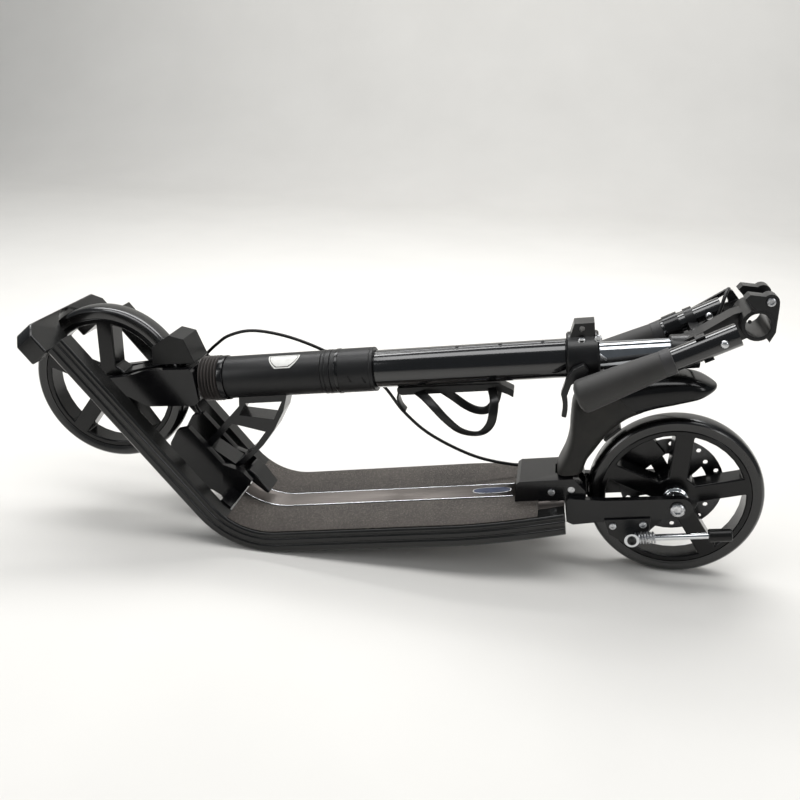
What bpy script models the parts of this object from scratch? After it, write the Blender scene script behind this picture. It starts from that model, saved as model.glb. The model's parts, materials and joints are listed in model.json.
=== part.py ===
"""Folded adult kick scooter: separate named pieces, in metres, +Z up, rear of the scooter at +X.

Three frames carry the pieces. The deck frame has its origin on the rear axle and is level when the
scooter is ridden; at rest it is nose-down, because the folded scooter stands on its rear wheel and on the
bend of its side rails. The stem frame has its origin on the fold pivot, +X along the stem towards the
handlebar and +Z away from the deck. The steering frame is the same, moved up onto the steering axis.
"""

import math

import bmesh
import bpy
from mathutils import Matrix, Vector

# ---------------------------------------------------------------- driving dimensions
GAP = 0.0003              # clearance between pieces that touch
RUN = 0.0003              # radial running clearance

WHEEL_R = 0.100           # both tyres
TYRE_W = 0.030
RIM_R = 0.086             # tyre seat
RIM_W = 0.026
WINDOW_R = 0.079          # outer end of the spoke windows
HUB_R = 0.021
HUB_W = 0.036
BEARING_R = 0.011
BEARING_W = 0.007
AXLE_R = 0.004
SPOKES = 5
SPOKE_W = 0.021

DECK_BOTTOM = -0.014      # underside of the side rails, above the rear axle
RAIL_H = 0.027
RAIL_W = 0.022
DECK_HALF_W = 0.085       # outer face of the rails
BOARD_T = 0.005
TAPE_T = 0.0008
CENTRE_STRIP_W = 0.036    # bare board between the grip tapes
STRIP_H = TAPE_T + 0.0004  # the bare strip stands level with the tapes
BEND_X = -0.471           # where the rails start to bend up
BEND_R = 0.110            # outer radius of the bend
BEND_ANGLE = math.radians(58.8)
RISER_L = 0.262           # straight rail above the bend
DECK_REAR_X = -0.126
BRACKET_FRONT_X = -0.184   # front edge of the rear bracket on the board
BOARD_END_ANGLE = math.radians(44.0)

NOSE_L = 0.0385
NOSE_NOTCH_R = 0.0300
NOSE_NOTCH_IN = 0.0062    # centre of the notch above the rail ends
TAPER_X = -0.250          # where the rails start to close in towards the rear
TAPER_Y = 0.018           # how far each has closed in at its rear end

PIVOT = (-0.597, 0.070)   # fold pivot in the deck frame
STEM_SLOPE = math.radians(-1.3)   # stem against the deck when folded
STEM_OFFSET = 0.1193      # steering axis above the fold pivot
FOLD_PEDAL = (-0.5175, 0.0625)   # hinge of the fold pedal in the deck frame
CHEEK_IN = 0.0190
CHEEK_T = 0.009
BRACKET_HALF_W = 0.0317
PIVOT_BOLT_R = 0.006

HEAD_R = 0.026
HEAD_START = 0.074
HEAD_L = 0.123
CUP_R = 0.0275
CUP_LOW_L = 0.0075
CUP_HIGH_L = 0.011
STEERER_R = 0.0143
STEERER_BORE = 0.0105
SLEEVE_R = 0.0265
SLEEVE_L = 0.052
TUBE_R = 0.0225
TUBE_END = 0.494
INNER_R = 0.016
INNER_START = 0.275
INNER_END = 0.622
BELLOWS_START = 0.0405
BELLOWS_R = 0.0275
BELLOWS_RINGS = 5

FORK_TRAVEL = 0.010
CROWN_END = 0.040        # top of the fork crown along the stem
HUB_U = -0.0835           # front hub in the stem frame
HUB_N = 0.0043            # front hub above the steering axis
LEG_IN = 0.0215
MUDGUARD_HALF_W = 0.0205
LEG_T = 0.009

CLAMP_START = 0.484
CLAMP_L = 0.036
CLAMP_R = 0.030
T_U = 0.682               # handlebar crossbar along the stem
T_N = 0.033               # and above the steering axis
T_HALF_W = 0.028
T_BORE = 0.0129
T_R = 0.0172
LEVER_Y = (0.0693, 0.0743)   # brake lever blade, beside the right grip
LEVER_PIVOT = (0.676, 0.030)

GRIP_Y = 0.052
GRIP_DROOP = math.radians(20.6)
GRIP_END = (0.6585, 0.0325)   # upper end of the grip tubes along the stem and above the axis
GRIP_TUBE_R = 0.0125
GRIP_TUBE_L = 0.172
GRIP_LENGTH = 0.176       # from the tube's upper end to the outer end of the rubber
GRIP_L = 0.108            # rubber with its collar
GRIP_R = 0.0175           # at the flared outer end
BUTTON_R = 0.0042
BUTTON_PROUD = 0.0030
BUTTON_ALONG = -0.0166    # from the tube's upper end

FENDER_GAP = 0.0100
FENDER_HALF_W = 0.029
FENDER_PIVOT = (-0.117, 0.026)
STAY_IN = 0.0320           # inner face of the stays
FENDER_LUG = 0.0120
STAY_T = 0.008
STAY_H = 0.024
ROTOR_R = 0.060
ROTOR_Y = 0.0235
KICK_PIVOT = (-0.053, -0.027)
KICK_Y = -0.0545
KICK_L = 0.108

CABLE_R = 0.0020
CABLE_END_GAP = 0.0005    # kept back at each end, so two lengths that meet do not touch
NECK_CLIP = (0.030, 0.036, 0.020)     # cable guides along the stem: u, y, n
STEM_CLIP = (0.225, 0.032, -0.008)
T_CLIP = (0.642, 0.0345, 0.002)
DECK_CLIP = (-0.578, 0.0335, 0.100)   # cable guide beside the hinge bracket: x, y, z

# ---------------------------------------------------------------- rest pose
# The bend of radius BEND_R touches the floor one wheel radius under the axle.
_rise = BEND_R + DECK_BOTTOM
REST_TILT = math.atan2(_rise, -BEND_X) - math.asin((BEND_R - WHEEL_R) / math.hypot(_rise, BEND_X))


def deck_to_world_offset(x, z):
    """Turn a deck-frame offset from the rear axle into level axes."""
    c, s = math.cos(REST_TILT), math.sin(REST_TILT)
    return x * c - z * s, x * s + z * c


def stem_to_deck(u, n):
    """Place a stem-frame point, u along the stem and n away from the deck, in the deck frame."""
    c, s = math.cos(STEM_SLOPE), math.sin(STEM_SLOPE)
    return PIVOT[0] + u * c - n * s, PIVOT[1] + u * s + n * c


FRONT_HUB = stem_to_deck(HUB_U, STEM_OFFSET + HUB_N)
SHIFT_X = -deck_to_world_offset(*FRONT_HUB)[0] / 2.0

# ---------------------------------------------------------------- materials
FINISHES = {
    "black_coat": ((0.012, 0.012, 0.014), 0.28, 0.0),
    "satin_black": ((0.020, 0.020, 0.022), 0.45, 0.0),
    "grey_plastic": ((0.045, 0.044, 0.043), 0.60, 0.0),
    "tyre": ((0.010, 0.010, 0.011), 0.30, 0.0),
    "rubber": ((0.050, 0.048, 0.046), 0.75, 0.0),
    "grip_tape": ((0.045, 0.043, 0.042), 0.95, 0.0),
    "aluminium": ((0.55, 0.55, 0.56), 0.38, 1.0),
    "chrome": ((0.75, 0.75, 0.76), 0.08, 1.0),
    "steel": ((0.60, 0.60, 0.60), 0.30, 1.0),
    "blue_badge": ((0.010, 0.020, 0.080), 0.30, 0.0),
    "cable": ((0.010, 0.010, 0.010), 0.50, 0.0),
}


def make_material(name, finish):
    colour, roughness, metallic = FINISHES[finish]
    material = bpy.data.materials.new(name)
    material.use_nodes = True
    shader = material.node_tree.nodes["Principled BSDF"]
    shader.inputs["Base Color"].default_value = (*colour, 1.0)
    shader.inputs["Roughness"].default_value = roughness
    shader.inputs["Metallic"].default_value = metallic
    return material


# ---------------------------------------------------------------- making solids
def add_object(name, data, finish, frame, guide=False):
    piece = bpy.data.objects.new(name, data)
    bpy.context.scene.collection.objects.link(piece)
    piece.parent = frame
    if guide:
        piece.hide_render = True
        piece.display_type = "WIRE"
    else:
        data.materials.append(make_material(name, finish))
    return piece


def finish_mesh(name, bm, smooth):
    bmesh.ops.recalc_face_normals(bm, faces=bm.faces)
    mesh = bpy.data.meshes.new(name)
    bm.to_mesh(mesh)
    bm.free()
    if smooth:
        mesh.shade_smooth()
        mesh.set_sharp_from_angle(angle=math.radians(35.0))
    return mesh


def arc(centre, radius, start, end, steps):
    """Points on a circle from one angle to another, in degrees, both ends included."""
    angles = [math.radians(start + (end - start) * i / steps) for i in range(steps + 1)]
    return [(centre[0] + radius * math.cos(a), centre[1] + radius * math.sin(a)) for a in angles]


def circle(centre, radius, sides):
    return arc(centre, radius, 0.0, 360.0 * (sides - 1) / sides, sides - 1)


PLANES = {
    "X": lambda a, b, d: (d, a, b),
    "Y": lambda a, b, d: (a, d, b),
    "Z": lambda a, b, d: (a, b, d),
}


def plate(name, outline, low, high, finish, frame, holes=(), axis="Y", bevel=0.0, guide=False):
    """Flat piece: an outline with holes, extruded along one axis from low to high."""
    place = PLANES[axis]
    bm = bmesh.new()
    edges = []
    for loop in (outline, *holes):
        verts = [bm.verts.new(place(a, b, low)) for a, b in loop]
        edges += [bm.edges.new((verts[i - 1], verts[i])) for i in range(len(verts))]
    bmesh.ops.triangle_fill(bm, use_beauty=True, use_dissolve=False, edges=edges)
    grown = bmesh.ops.extrude_face_region(bm, geom=bm.faces[:], use_keep_orig=True)
    moved = [g for g in grown["geom"] if isinstance(g, bmesh.types.BMVert)]
    bmesh.ops.translate(bm, verts=moved, vec=Vector(place(0.0, 0.0, high - low)))
    piece = add_object(name, finish_mesh(name, bm, bool(bevel)), finish, frame, guide)
    if bevel:
        add_bevel(piece, bevel)
    return piece


def turned(name, outline, axis, sides, finish, frame, guide=False, turn=0.0):
    """Turned piece: a closed outline of (along, radius) points, spun round an axis."""
    bm = bmesh.new()
    rings = []
    for along, radius in outline:
        count = sides if radius > 1e-6 else 1
        ring = []
        for i in range(count):
            a = turn + 2.0 * math.pi * i / sides
            p, q = radius * math.cos(a), radius * math.sin(a)
            ring.append(bm.verts.new((along, p, q) if axis == "X" else (p, along, q)))
        rings.append(ring)
    for k, ring in enumerate(rings):
        other = rings[(k + 1) % len(rings)]
        for i in range(sides):
            j = (i + 1) % sides
            corners = [ring[i % len(ring)], ring[j % len(ring)], other[j % len(other)], other[i % len(other)]]
            face = list(dict.fromkeys(corners))
            if len(face) > 2:
                bm.faces.new(face)
    return add_object(name, finish_mesh(name, bm, True), finish, frame, guide)


def closing(x):
    """How far the rails have closed in at x, from none at TAPER_X to TAPER_Y at their rear end."""
    return TAPER_Y * max(0.0, (x - TAPER_X) / (DECK_REAR_X - TAPER_X)) ** 1.6


def swept(name, stations, section, finish, frame):
    """Piece carried along the rails' line: a closed section of (height, y) at each station.

    Points outside the bare centre strip move in with the rails towards the rear.
    """
    bm = bmesh.new()
    rings = []
    for (x, z), (nx, nz) in stations:
        ring = []
        for h, y in section:
            inward = closing(x) if abs(y) > CENTRE_STRIP_W / 2.0 + GAP else 0.0
            ring.append(bm.verts.new((x + nx * h, y - math.copysign(inward, y), z + nz * h)))
        rings.append(ring)
    for ring, other in zip(rings, rings[1:]):
        for i in range(len(section)):
            j = (i + 1) % len(section)
            bm.faces.new((ring[i], ring[j], other[j], other[i]))
    bm.faces.new(rings[0])
    bm.faces.new(rings[-1])
    return add_object(name, finish_mesh(name, bm, True), finish, frame)


def bent_rod(name, points, radius, finish, frame, resolution=2, guide=False):
    """Round rod or cable: a bevelled curve with filled caps through its points."""
    curve = bpy.data.curves.new(name, "CURVE")
    curve.dimensions = "3D"
    curve.bevel_depth = radius
    curve.bevel_resolution = resolution
    curve.use_fill_caps = True
    spline = curve.splines.new("POLY")
    spline.points.add(len(points) - 1)
    for target, point in zip(spline.points, points):
        target.co = (*point, 1.0)
    return add_object(name, curve, finish, frame, guide)


def bent_bar(name, points, half_w, half_h, finish, frame, guide=False):
    """Flat bar as a mesh: an oblong section carried along 3-D points, its wide side facing sideways."""
    corners = [(-1.0, -0.6), (-0.6, -1.0), (0.6, -1.0), (1.0, -0.6), (1.0, 0.6), (0.6, 1.0), (-0.6, 1.0),
               (-1.0, 0.6)]
    bm = bmesh.new()
    rings = []
    for k, point in enumerate(points):
        ahead = (points[min(k + 1, len(points) - 1)] - points[max(k - 1, 0)]).normalized()
        side = ahead.cross(Vector((0.0, 1.0, 0.0))).normalized()
        up = side.cross(ahead)
        rings.append([bm.verts.new(point + side * (a * half_w) + up * (b * half_h)) for a, b in corners])
    for ring, other in zip(rings, rings[1:]):
        for i in range(len(corners)):
            j = (i + 1) % len(corners)
            bm.faces.new((ring[i], ring[j], other[j], other[i]))
    bm.faces.new(rings[0])
    bm.faces.new(rings[-1])
    return add_object(name, finish_mesh(name, bm, True), finish, frame, guide)


def smooth_route(points, spacing):
    """Points about `spacing` apart on a smooth curve through the route's own points (Catmull-Rom)."""
    ends = [2 * Vector(points[0]) - Vector(points[1])] + [Vector(p) for p in points]
    ends.append(2 * Vector(points[-1]) - Vector(points[-2]))
    route = []
    for k in range(1, len(ends) - 2):
        p0, p1, p2, p3 = ends[k - 1:k + 3]
        count = max(1, round((p2 - p1).length / spacing))
        for i in range(count):
            t = i / count
            route.append(0.5 * (2 * p1 + (p2 - p0) * t + (2 * p0 - 5 * p1 + 4 * p2 - p3) * t * t
                                + (3 * p1 - p0 - 3 * p2 + p3) * t ** 3))
    return route + [Vector(points[-1])]


def add_bevel(piece, width, segments=1, angle=30.0):
    bevel = piece.modifiers.new("bevel", "BEVEL")
    bevel.width = width
    bevel.segments = segments
    bevel.limit_method = "ANGLE"
    bevel.angle_limit = math.radians(angle)


def boolean(piece, other, operation):
    modifier = piece.modifiers.new(operation.lower(), "BOOLEAN")
    modifier.operation = operation
    modifier.object = other


def cut(piece, cutter):
    boolean(piece, cutter, "DIFFERENCE")


def join(piece, other):
    boolean(piece, other, "UNION")


def frame_at(name, parent, location=(0.0, 0.0, 0.0), pitch=0.0):
    """Empty whose +X rises by `pitch` radians against its parent's."""
    empty = bpy.data.objects.new(name, None)
    bpy.context.scene.collection.objects.link(empty)
    empty.parent = parent
    empty.location = location
    empty.rotation_euler = (0.0, -pitch, 0.0)
    return empty


# ---------------------------------------------------------------- deck and rails
def rail_stations(start_x, end):
    """Stations on the rails' outer line: flat, bend, riser. `end` is a bend angle, or a riser length."""
    level = [start_x + (TAPER_X - start_x) * i / 5 for i in range(6)] + [BEND_X]
    stations = [((x, DECK_BOTTOM), (0.0, 1.0)) for x in level]
    bend_end = end if end < 0 else -BEND_ANGLE
    steps = 9
    angles = sorted({-bend_end * i / steps for i in range(1, steps + 1)} | {REST_TILT})
    for a in angles:
        nx, nz = math.sin(a), math.cos(a)
        stations.append(((BEND_X - BEND_R * nx, DECK_BOTTOM + BEND_R * (1.0 - nz)), (nx, nz)))
    if end > 0:
        (x, z), (nx, nz) = stations[-1]
        stations.append(((x - end * nz, z + end * nx), (nx, nz)))
    return stations


def riser_frame(deck):
    """Frame on the front face of the riser at the end of the bend, +X up the riser, +Z to the rider."""
    (x, z), _ = rail_stations(DECK_REAR_X, -BEND_ANGLE)[-1]
    return frame_at("riser_frame", deck, (x, 0.0, z), math.pi - BEND_ANGLE)


def make_rails(deck):
    inner = DECK_HALF_W - RAIL_W
    groove = 0.0016
    section = [
        (0.0, inner + 0.002), (0.0, DECK_HALF_W - 0.003), (0.003, DECK_HALF_W),
        (0.0095, DECK_HALF_W), (0.0105, DECK_HALF_W - groove), (0.0125, DECK_HALF_W - groove),
        (0.0135, DECK_HALF_W), (RAIL_H - 0.0085, DECK_HALF_W), (RAIL_H - 0.0075, DECK_HALF_W - groove),
        (RAIL_H - 0.0055, DECK_HALF_W - groove), (RAIL_H - 0.0045, DECK_HALF_W),
        (RAIL_H - 0.002, DECK_HALF_W), (RAIL_H, DECK_HALF_W - 0.002), (RAIL_H, inner), (0.002, inner),
    ]
    for side, sign in (("left", -1.0), ("right", 1.0)):
        mirrored = [(h, sign * y) for h, y in section]
        swept(f"rail_{side}", rail_stations(DECK_REAR_X, RISER_L), mirrored, "satin_black", deck)


def make_board_and_tapes(deck):
    half = DECK_HALF_W - RAIL_W - GAP
    top = RAIL_H
    tape_in = CENTRE_STRIP_W / 2.0
    strip = tape_in - GAP
    board = [(top - BOARD_T, -half), (top - BOARD_T, half), (top, half), (top, strip), (top + STRIP_H, strip),
             (top + STRIP_H, -strip), (top, -strip), (top, -half)]
    made = swept("deck_board", rail_stations(DECK_REAR_X, -BOARD_END_ANGLE), board, "aluminium", deck)
    seat = DECK_BOTTOM + RAIL_H + STRIP_H - 0.0004
    seat_outline = [(BRACKET_FRONT_X - GAP, seat), (DECK_REAR_X + 0.01, seat), (DECK_REAR_X + 0.01, seat + 0.01),
                    (BRACKET_FRONT_X - GAP, seat + 0.01)]
    cut(made, plate("bracket_seat", seat_outline, -tape_in, tape_in, "aluminium", deck, guide=True))
    tape_out = DECK_HALF_W - 0.004
    low = top + GAP
    for side, sign in (("left", -1.0), ("right", 1.0)):
        tape = [(low, sign * tape_in), (low, sign * tape_out), (low + TAPE_T, sign * tape_out),
                (low + TAPE_T, sign * tape_in)]
        swept(f"grip_tape_{side}", rail_stations(DECK_REAR_X - 0.030, -BOARD_END_ANGLE), tape, "grip_tape", deck)


def make_nose(deck):
    """Cross-piece over the rail ends; its round notch takes the head tube when unfolded."""
    low = RISER_L + GAP
    notch = [(low, NOSE_NOTCH_R)] + arc((low + NOSE_NOTCH_IN, 0.0), NOSE_NOTCH_R, 90.0, -90.0, 16)
    notch.append((low, -NOSE_NOTCH_R))
    outline = [(low, -DECK_HALF_W), (low + NOSE_L - 0.012, -DECK_HALF_W), (low + NOSE_L, -DECK_HALF_W + 0.014),
               (low + NOSE_L, DECK_HALF_W - 0.014), (low + NOSE_L - 0.012, DECK_HALF_W), (low, DECK_HALF_W)]
    outline += notch
    plate("nose_bridge", outline, 0.0, RAIL_H, "satin_black", riser_frame(deck), axis="Z", bevel=0.0015)


# ---------------------------------------------------------------- fold hinge
def make_hinge(deck):
    """Bracket between the rails: two cheeks with the pivot's eye, on a bridge behind the board."""
    px, pz = PIVOT
    end = BOARD_END_ANGLE + math.radians(1.0)
    centre = (BEND_X, DECK_BOTTOM + BEND_R)

    def on_bend(radius, angle):
        return centre[0] - radius * math.sin(angle), centre[1] - radius * math.cos(angle)

    outline = [on_bend(0.068, end), (-0.5105, 0.0570), (-0.5210, 0.0710), (-0.5440, 0.0820), (-0.5780, 0.1350),
               (-0.5940, 0.1330), (-0.6070, 0.1160)]
    outline += arc(PIVOT, 0.017, 165.0, 290.0, 8)
    outline += [(-0.566, 0.048), on_bend(0.098, end)]
    left = plate("hinge_bracket", outline, -CHEEK_IN - CHEEK_T, -CHEEK_IN, "black_coat", deck)
    right = plate("hinge_cheek", outline, CHEEK_IN, CHEEK_IN + CHEEK_T, "black_coat", deck, guide=True)
    bridge_outline = [on_bend(0.081, end + 0.01), on_bend(0.081, BEND_ANGLE - 0.04),
                      on_bend(0.098, BEND_ANGLE - 0.04), on_bend(0.098, end + 0.01)]
    half = DECK_HALF_W - RAIL_W - GAP
    bridge = plate("hinge_bridge", bridge_outline, -half, half, "black_coat", deck, guide=True)
    eye = PIVOT_BOLT_R + RUN
    reach = CHEEK_IN + CHEEK_T + 0.01
    bore = turned("hinge_bore", [(-reach, 0.0), (-reach, eye), (reach, eye), (reach, 0.0)], "Y", 20,
                  "steel", frame_at("hinge_bore_frame", deck, (px, 0.0, pz)), guide=True)
    join(left, bridge)
    join(left, right)
    cut(left, bore)
    face = CHEEK_IN + CHEEK_T + GAP
    pin = [(-face - 0.007, 0.0), (-face - 0.007, 0.008), (-face - 0.005, 0.0105), (-face, 0.0105),
           (-face, PIVOT_BOLT_R), (face, PIVOT_BOLT_R), (face, 0.0105), (face + 0.005, 0.0105),
           (face + 0.007, 0.008), (face + 0.007, 0.0)]
    turned("fold_axle", pin, "Y", 20, "steel", frame_at("fold_axle_frame", deck, (px, 0.0, pz)))


def make_fold_pedal(deck):
    """Foot lever at the rear end of the hinge bracket that frees the fold catch."""
    frame = frame_at("fold_pedal_frame", deck, (FOLD_PEDAL[0], 0.0, FOLD_PEDAL[1]), math.radians(-50.0))
    outline = arc((0.0, 0.0), 0.0055, 90.0, 270.0, 6) + [(0.012, -0.0055), (0.034, -0.004), (0.036, 0.0),
                                                        (0.012, 0.0055)]
    plate("fold_pedal", outline, -0.017, 0.017, "black_coat", frame, bevel=0.0008)


def make_neck(stem):
    """Open quadrant casting from the fold pivot up to the head tube."""
    boss = arc((0.0, 0.0), 0.015, 135.0, 285.0, 10)
    top = STEM_OFFSET - 0.012
    outline = boss + [(0.040, -0.008), (0.062, 0.000), (0.086, 0.015), (0.106, 0.032), (0.124, 0.052),
                      (0.140, 0.076), (0.152, top), (0.088, top), (0.084, 0.086), (0.030, 0.038)]
    windows = (
        [(0.093, 0.089), (0.140, 0.089), (0.126, 0.066), (0.082, 0.074)],
        [(0.070, 0.063), (0.112, 0.050), (0.090, 0.026), (0.064, 0.008), (0.036, 0.032)],
    )
    half = 0.0150
    neck = plate("neck_bracket", outline, -half, half, "black_coat", stem, holes=windows)
    reach = half + 0.01
    eye = PIVOT_BOLT_R + RUN
    bore = turned("neck_bore", [(-reach, 0.0), (-reach, eye), (reach, eye), (reach, 0.0)], "Y", 20,
                  "steel", stem, guide=True)
    saddle = turned("neck_saddle", [(0.0, 0.0), (0.0, HEAD_R + GAP), (0.25, HEAD_R + GAP), (0.25, 0.0)],
                    "X", 32, "steel", frame_at("neck_saddle_frame", stem, (0.0, 0.0, STEM_OFFSET)), guide=True)
    cut(neck, bore)
    cut(neck, saddle)


# ---------------------------------------------------------------- steering head and stem
def tube(name, start, end, outer, inner, finish, frame, sides=28, chamfer=0.0006):
    outline = [(start, inner), (start, outer - chamfer), (start + chamfer, outer), (end - chamfer, outer),
               (end, outer - chamfer), (end, inner)]
    return turned(name, outline, "X", sides, finish, frame)


def make_head(axis):
    head_end = HEAD_START + HEAD_L
    bore = STEERER_R + RUN
    tube("head_tube", HEAD_START, head_end, HEAD_R, HEAD_R - 0.004, "black_coat", axis)
    tube("headset_lower", HEAD_START - GAP - CUP_LOW_L, HEAD_START - GAP, CUP_R, bore, "satin_black", axis)
    tube("headset_upper", head_end + GAP, head_end + GAP + CUP_HIGH_L, CUP_R, bore, "satin_black", axis)


def make_stem(axis):
    base = HEAD_START + HEAD_L + 2 * GAP + CUP_HIGH_L
    flange = 0.006
    steerer = [(CROWN_END + FORK_TRAVEL + 0.003, STEERER_BORE), (CROWN_END + FORK_TRAVEL + 0.003, STEERER_R),
               (base, STEERER_R), (base, TUBE_R), (base + flange, TUBE_R), (base + flange, STEERER_BORE)]
    turned("steerer_tube", steerer, "X", 28, "steel", axis)
    bore = INNER_R + RUN
    start = base + flange + GAP
    count = 44
    outline = []
    for i in range(count):
        a = 2.0 * math.pi * i / count
        groove = 0.0011 if 203.0 < math.degrees(a) < 213.0 or 327.0 < math.degrees(a) < 337.0 else 0.0
        outline.append(((TUBE_R - groove) * math.cos(a), (TUBE_R - groove) * math.sin(a)))
    plate("main_tube", outline, start, TUBE_END, "black_coat", axis,
          holes=[circle((0.0, 0.0), bore, 28)], axis="X")
    tube("stem_sleeve", base, base + SLEEVE_L, SLEEVE_R, TUBE_R + GAP, "satin_black", axis)


def make_bellows(axis):
    start = BELLOWS_START
    end = HEAD_START - GAP - CUP_LOW_L - GAP
    pitch = (end - start) / BELLOWS_RINGS
    wall = 0.0022
    crests = []
    for i in range(BELLOWS_RINGS):
        at = start + i * pitch
        crests += [(at + 0.10 * pitch, BELLOWS_R - 0.0040), (at + 0.50 * pitch, BELLOWS_R)]
    crests.append((end, BELLOWS_R - 0.0040))
    inner = [(end, BELLOWS_R - 0.0040 - wall), (start + 0.10 * pitch, BELLOWS_R - 0.0040 - wall)]
    turned("bellows", crests + inner, "X", 24, "rubber", axis)


def make_clamp(axis):
    """Split clamp round the top of the main tube, with ears for its two bolts above."""
    end = CLAMP_START + CLAMP_L
    lip = TUBE_END + GAP
    outline = [(CLAMP_START, TUBE_R + GAP), (CLAMP_START, CLAMP_R - 0.002), (CLAMP_START + 0.002, CLAMP_R),
               (end - 0.002, CLAMP_R), (end, CLAMP_R - 0.002), (end, INNER_R + 2 * RUN),
               (lip, INNER_R + 2 * RUN), (lip, TUBE_R + GAP)]
    clamp = turned("height_clamp", outline, "X", 32, "satin_black", axis)
    ears = plate("clamp_ears", [(CLAMP_START + 0.004, 0.026), (end - 0.004, 0.026), (end - 0.004, 0.043),
                                (CLAMP_START + 0.010, 0.043)], -0.012, 0.012, "satin_black", axis, guide=True)
    join(clamp, ears)
    bolt_u = CLAMP_START + CLAMP_L / 2.0
    bolt_n = 0.0365
    hole = turned("clamp_bolt_hole", [(-0.05, 0.0), (-0.05, 0.0033), (0.05, 0.0033), (0.05, 0.0)], "Y", 16,
                  "steel", frame_at("clamp_bolt_hole_frame", axis, (bolt_u, 0.0, bolt_n)), guide=True)
    cut(clamp, hole)
    face = 0.012 + GAP
    bolt = [(-face - 0.005, 0.0), (-face - 0.005, 0.0045), (-face - 0.004, 0.0055), (-face, 0.0055),
            (-face, 0.003), (face, 0.003), (face, 0.0055), (face + 0.005, 0.0055), (face + 0.005, 0.0)]
    turned("clamp_bolt", bolt, "Y", 16, "steel", frame_at("clamp_bolt_frame", axis, (bolt_u, 0.0, bolt_n)))


def make_clamp_lever(axis):
    """Quick-release lever, hinged on the near side of the clamp; its hook hangs towards the deck."""
    frame = frame_at("clamp_lever_frame", axis, (CLAMP_START + 0.014, -CLAMP_R - 0.0062, -0.004))
    outline = [(0.004, 0.0085), (0.009, 0.001), (0.006, -0.0055), (-0.0105, -0.014), (-0.0155, -0.026)]
    outline += arc((-0.0700, -0.036), 0.0545, 8.0, -18.0, 5)
    outline += arc((-0.0700, -0.036), 0.0490, -18.0, 14.0, 5)
    outline += [(-0.016, -0.008), (-0.008, 0.004)]
    plate("clamp_lever", outline, -0.0055, 0.0055, "satin_black", frame, bevel=0.0008)


def make_cage(axis):
    """Bottle cage under the main tube: rail, foot and two side arms."""
    top = -TUBE_R - GAP
    rail_start, rail_end = 0.284, 0.402
    rail = plate("bottle_cage", [(rail_start, top), (rail_start, top - 0.006), (rail_start + 0.004, top - 0.009),
                                 (rail_end, top - 0.009), (rail_end + 0.016, top - 0.014),
                                 (rail_end + 0.020, top - 0.010), (rail_end + 0.004, top)],
                 -0.009, 0.009, "satin_black", axis)
    foot = plate("cage_foot", [(rail_start + 0.001, top - 0.004), (rail_start + 0.006, top - 0.004),
                               (rail_start + 0.008, top - 0.032), (rail_start + 0.003, top - 0.032)],
                 -0.008, 0.008, "satin_black", axis, guide=True)
    join(rail, foot)
    for side, sign in (("left", -1.0), ("right", 1.0)):
        route = [(0.318, sign * 0.004, top - 0.006), (0.330, sign * 0.026, top - 0.012),
                 (0.345, sign * 0.037, top - 0.025), (0.362, sign * 0.038, top - 0.041),
                 (0.378, sign * 0.034, top - 0.050), (0.392, sign * 0.034, top - 0.048),
                 (0.401, sign * 0.037, top - 0.034), (0.402, sign * 0.030, top - 0.013),
                 (0.397, sign * 0.004, top - 0.006)]
        arm = bent_bar(f"cage_arm_{side}", smooth_route(route, 0.012), 0.0050, 0.0016, "satin_black", axis, guide=True)
        join(rail, arm)


# ---------------------------------------------------------------- fork and wheels
def make_fork(axis):
    """Crown block and two blades down to the front hub."""
    hub = (HUB_U, HUB_N)
    blade = arc(hub, 0.013, 100.0, 262.0, 8)
    blade += [(HUB_U + 0.026, -0.004), (-0.028, -0.022), (CROWN_END - 0.006, -0.024), (CROWN_END, -0.019),
              (CROWN_END, 0.019), (CROWN_END - 0.004, 0.023), (-0.020, 0.025), (HUB_U + 0.036, 0.019)]
    outer = LEG_IN + LEG_T
    fork = plate("fork", blade, -outer, -LEG_IN, "black_coat", axis)
    other = plate("fork_blade", blade, LEG_IN, outer, "black_coat", axis, guide=True)
    start = HUB_U + WHEEL_R + 0.005
    crown = plate("fork_crown", [(start, -0.021), (CROWN_END - 0.001, -0.021), (CROWN_END - 0.001, 0.0215),
                                 (start, 0.0215)], -LEG_IN - 0.001, LEG_IN + 0.001, "black_coat", axis,
                  guide=True)
    eye = AXLE_R + GAP
    reach = outer + 0.01
    bore = turned("fork_bore", [(-reach, 0.0), (-reach, eye), (reach, eye), (reach, 0.0)], "Y", 16, "steel",
                  frame_at("fork_bore_frame", axis, (HUB_U, 0.0, HUB_N)), guide=True)
    join(fork, crown)
    join(fork, other)
    cut(fork, bore)
    slider = [(CROWN_END + GAP, 0.0), (CROWN_END + GAP, STEERER_BORE - RUN), (0.165, STEERER_BORE - RUN),
              (0.165, 0.0)]
    turned("fork_slider", slider, "X", 24, "steel", axis)


def make_axle(name, frame, outside):
    """Wheel bolt with a head on each outer face, `outside` from the middle."""
    face = outside + GAP
    outline = [(-face - 0.0045, 0.0), (-face - 0.0045, 0.006), (-face, 0.0075), (-face, AXLE_R), (face, AXLE_R),
               (face, 0.0075), (face + 0.0045, 0.006), (face + 0.0045, 0.0)]
    turned(name, outline, "Y", 20, "steel", frame)


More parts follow.
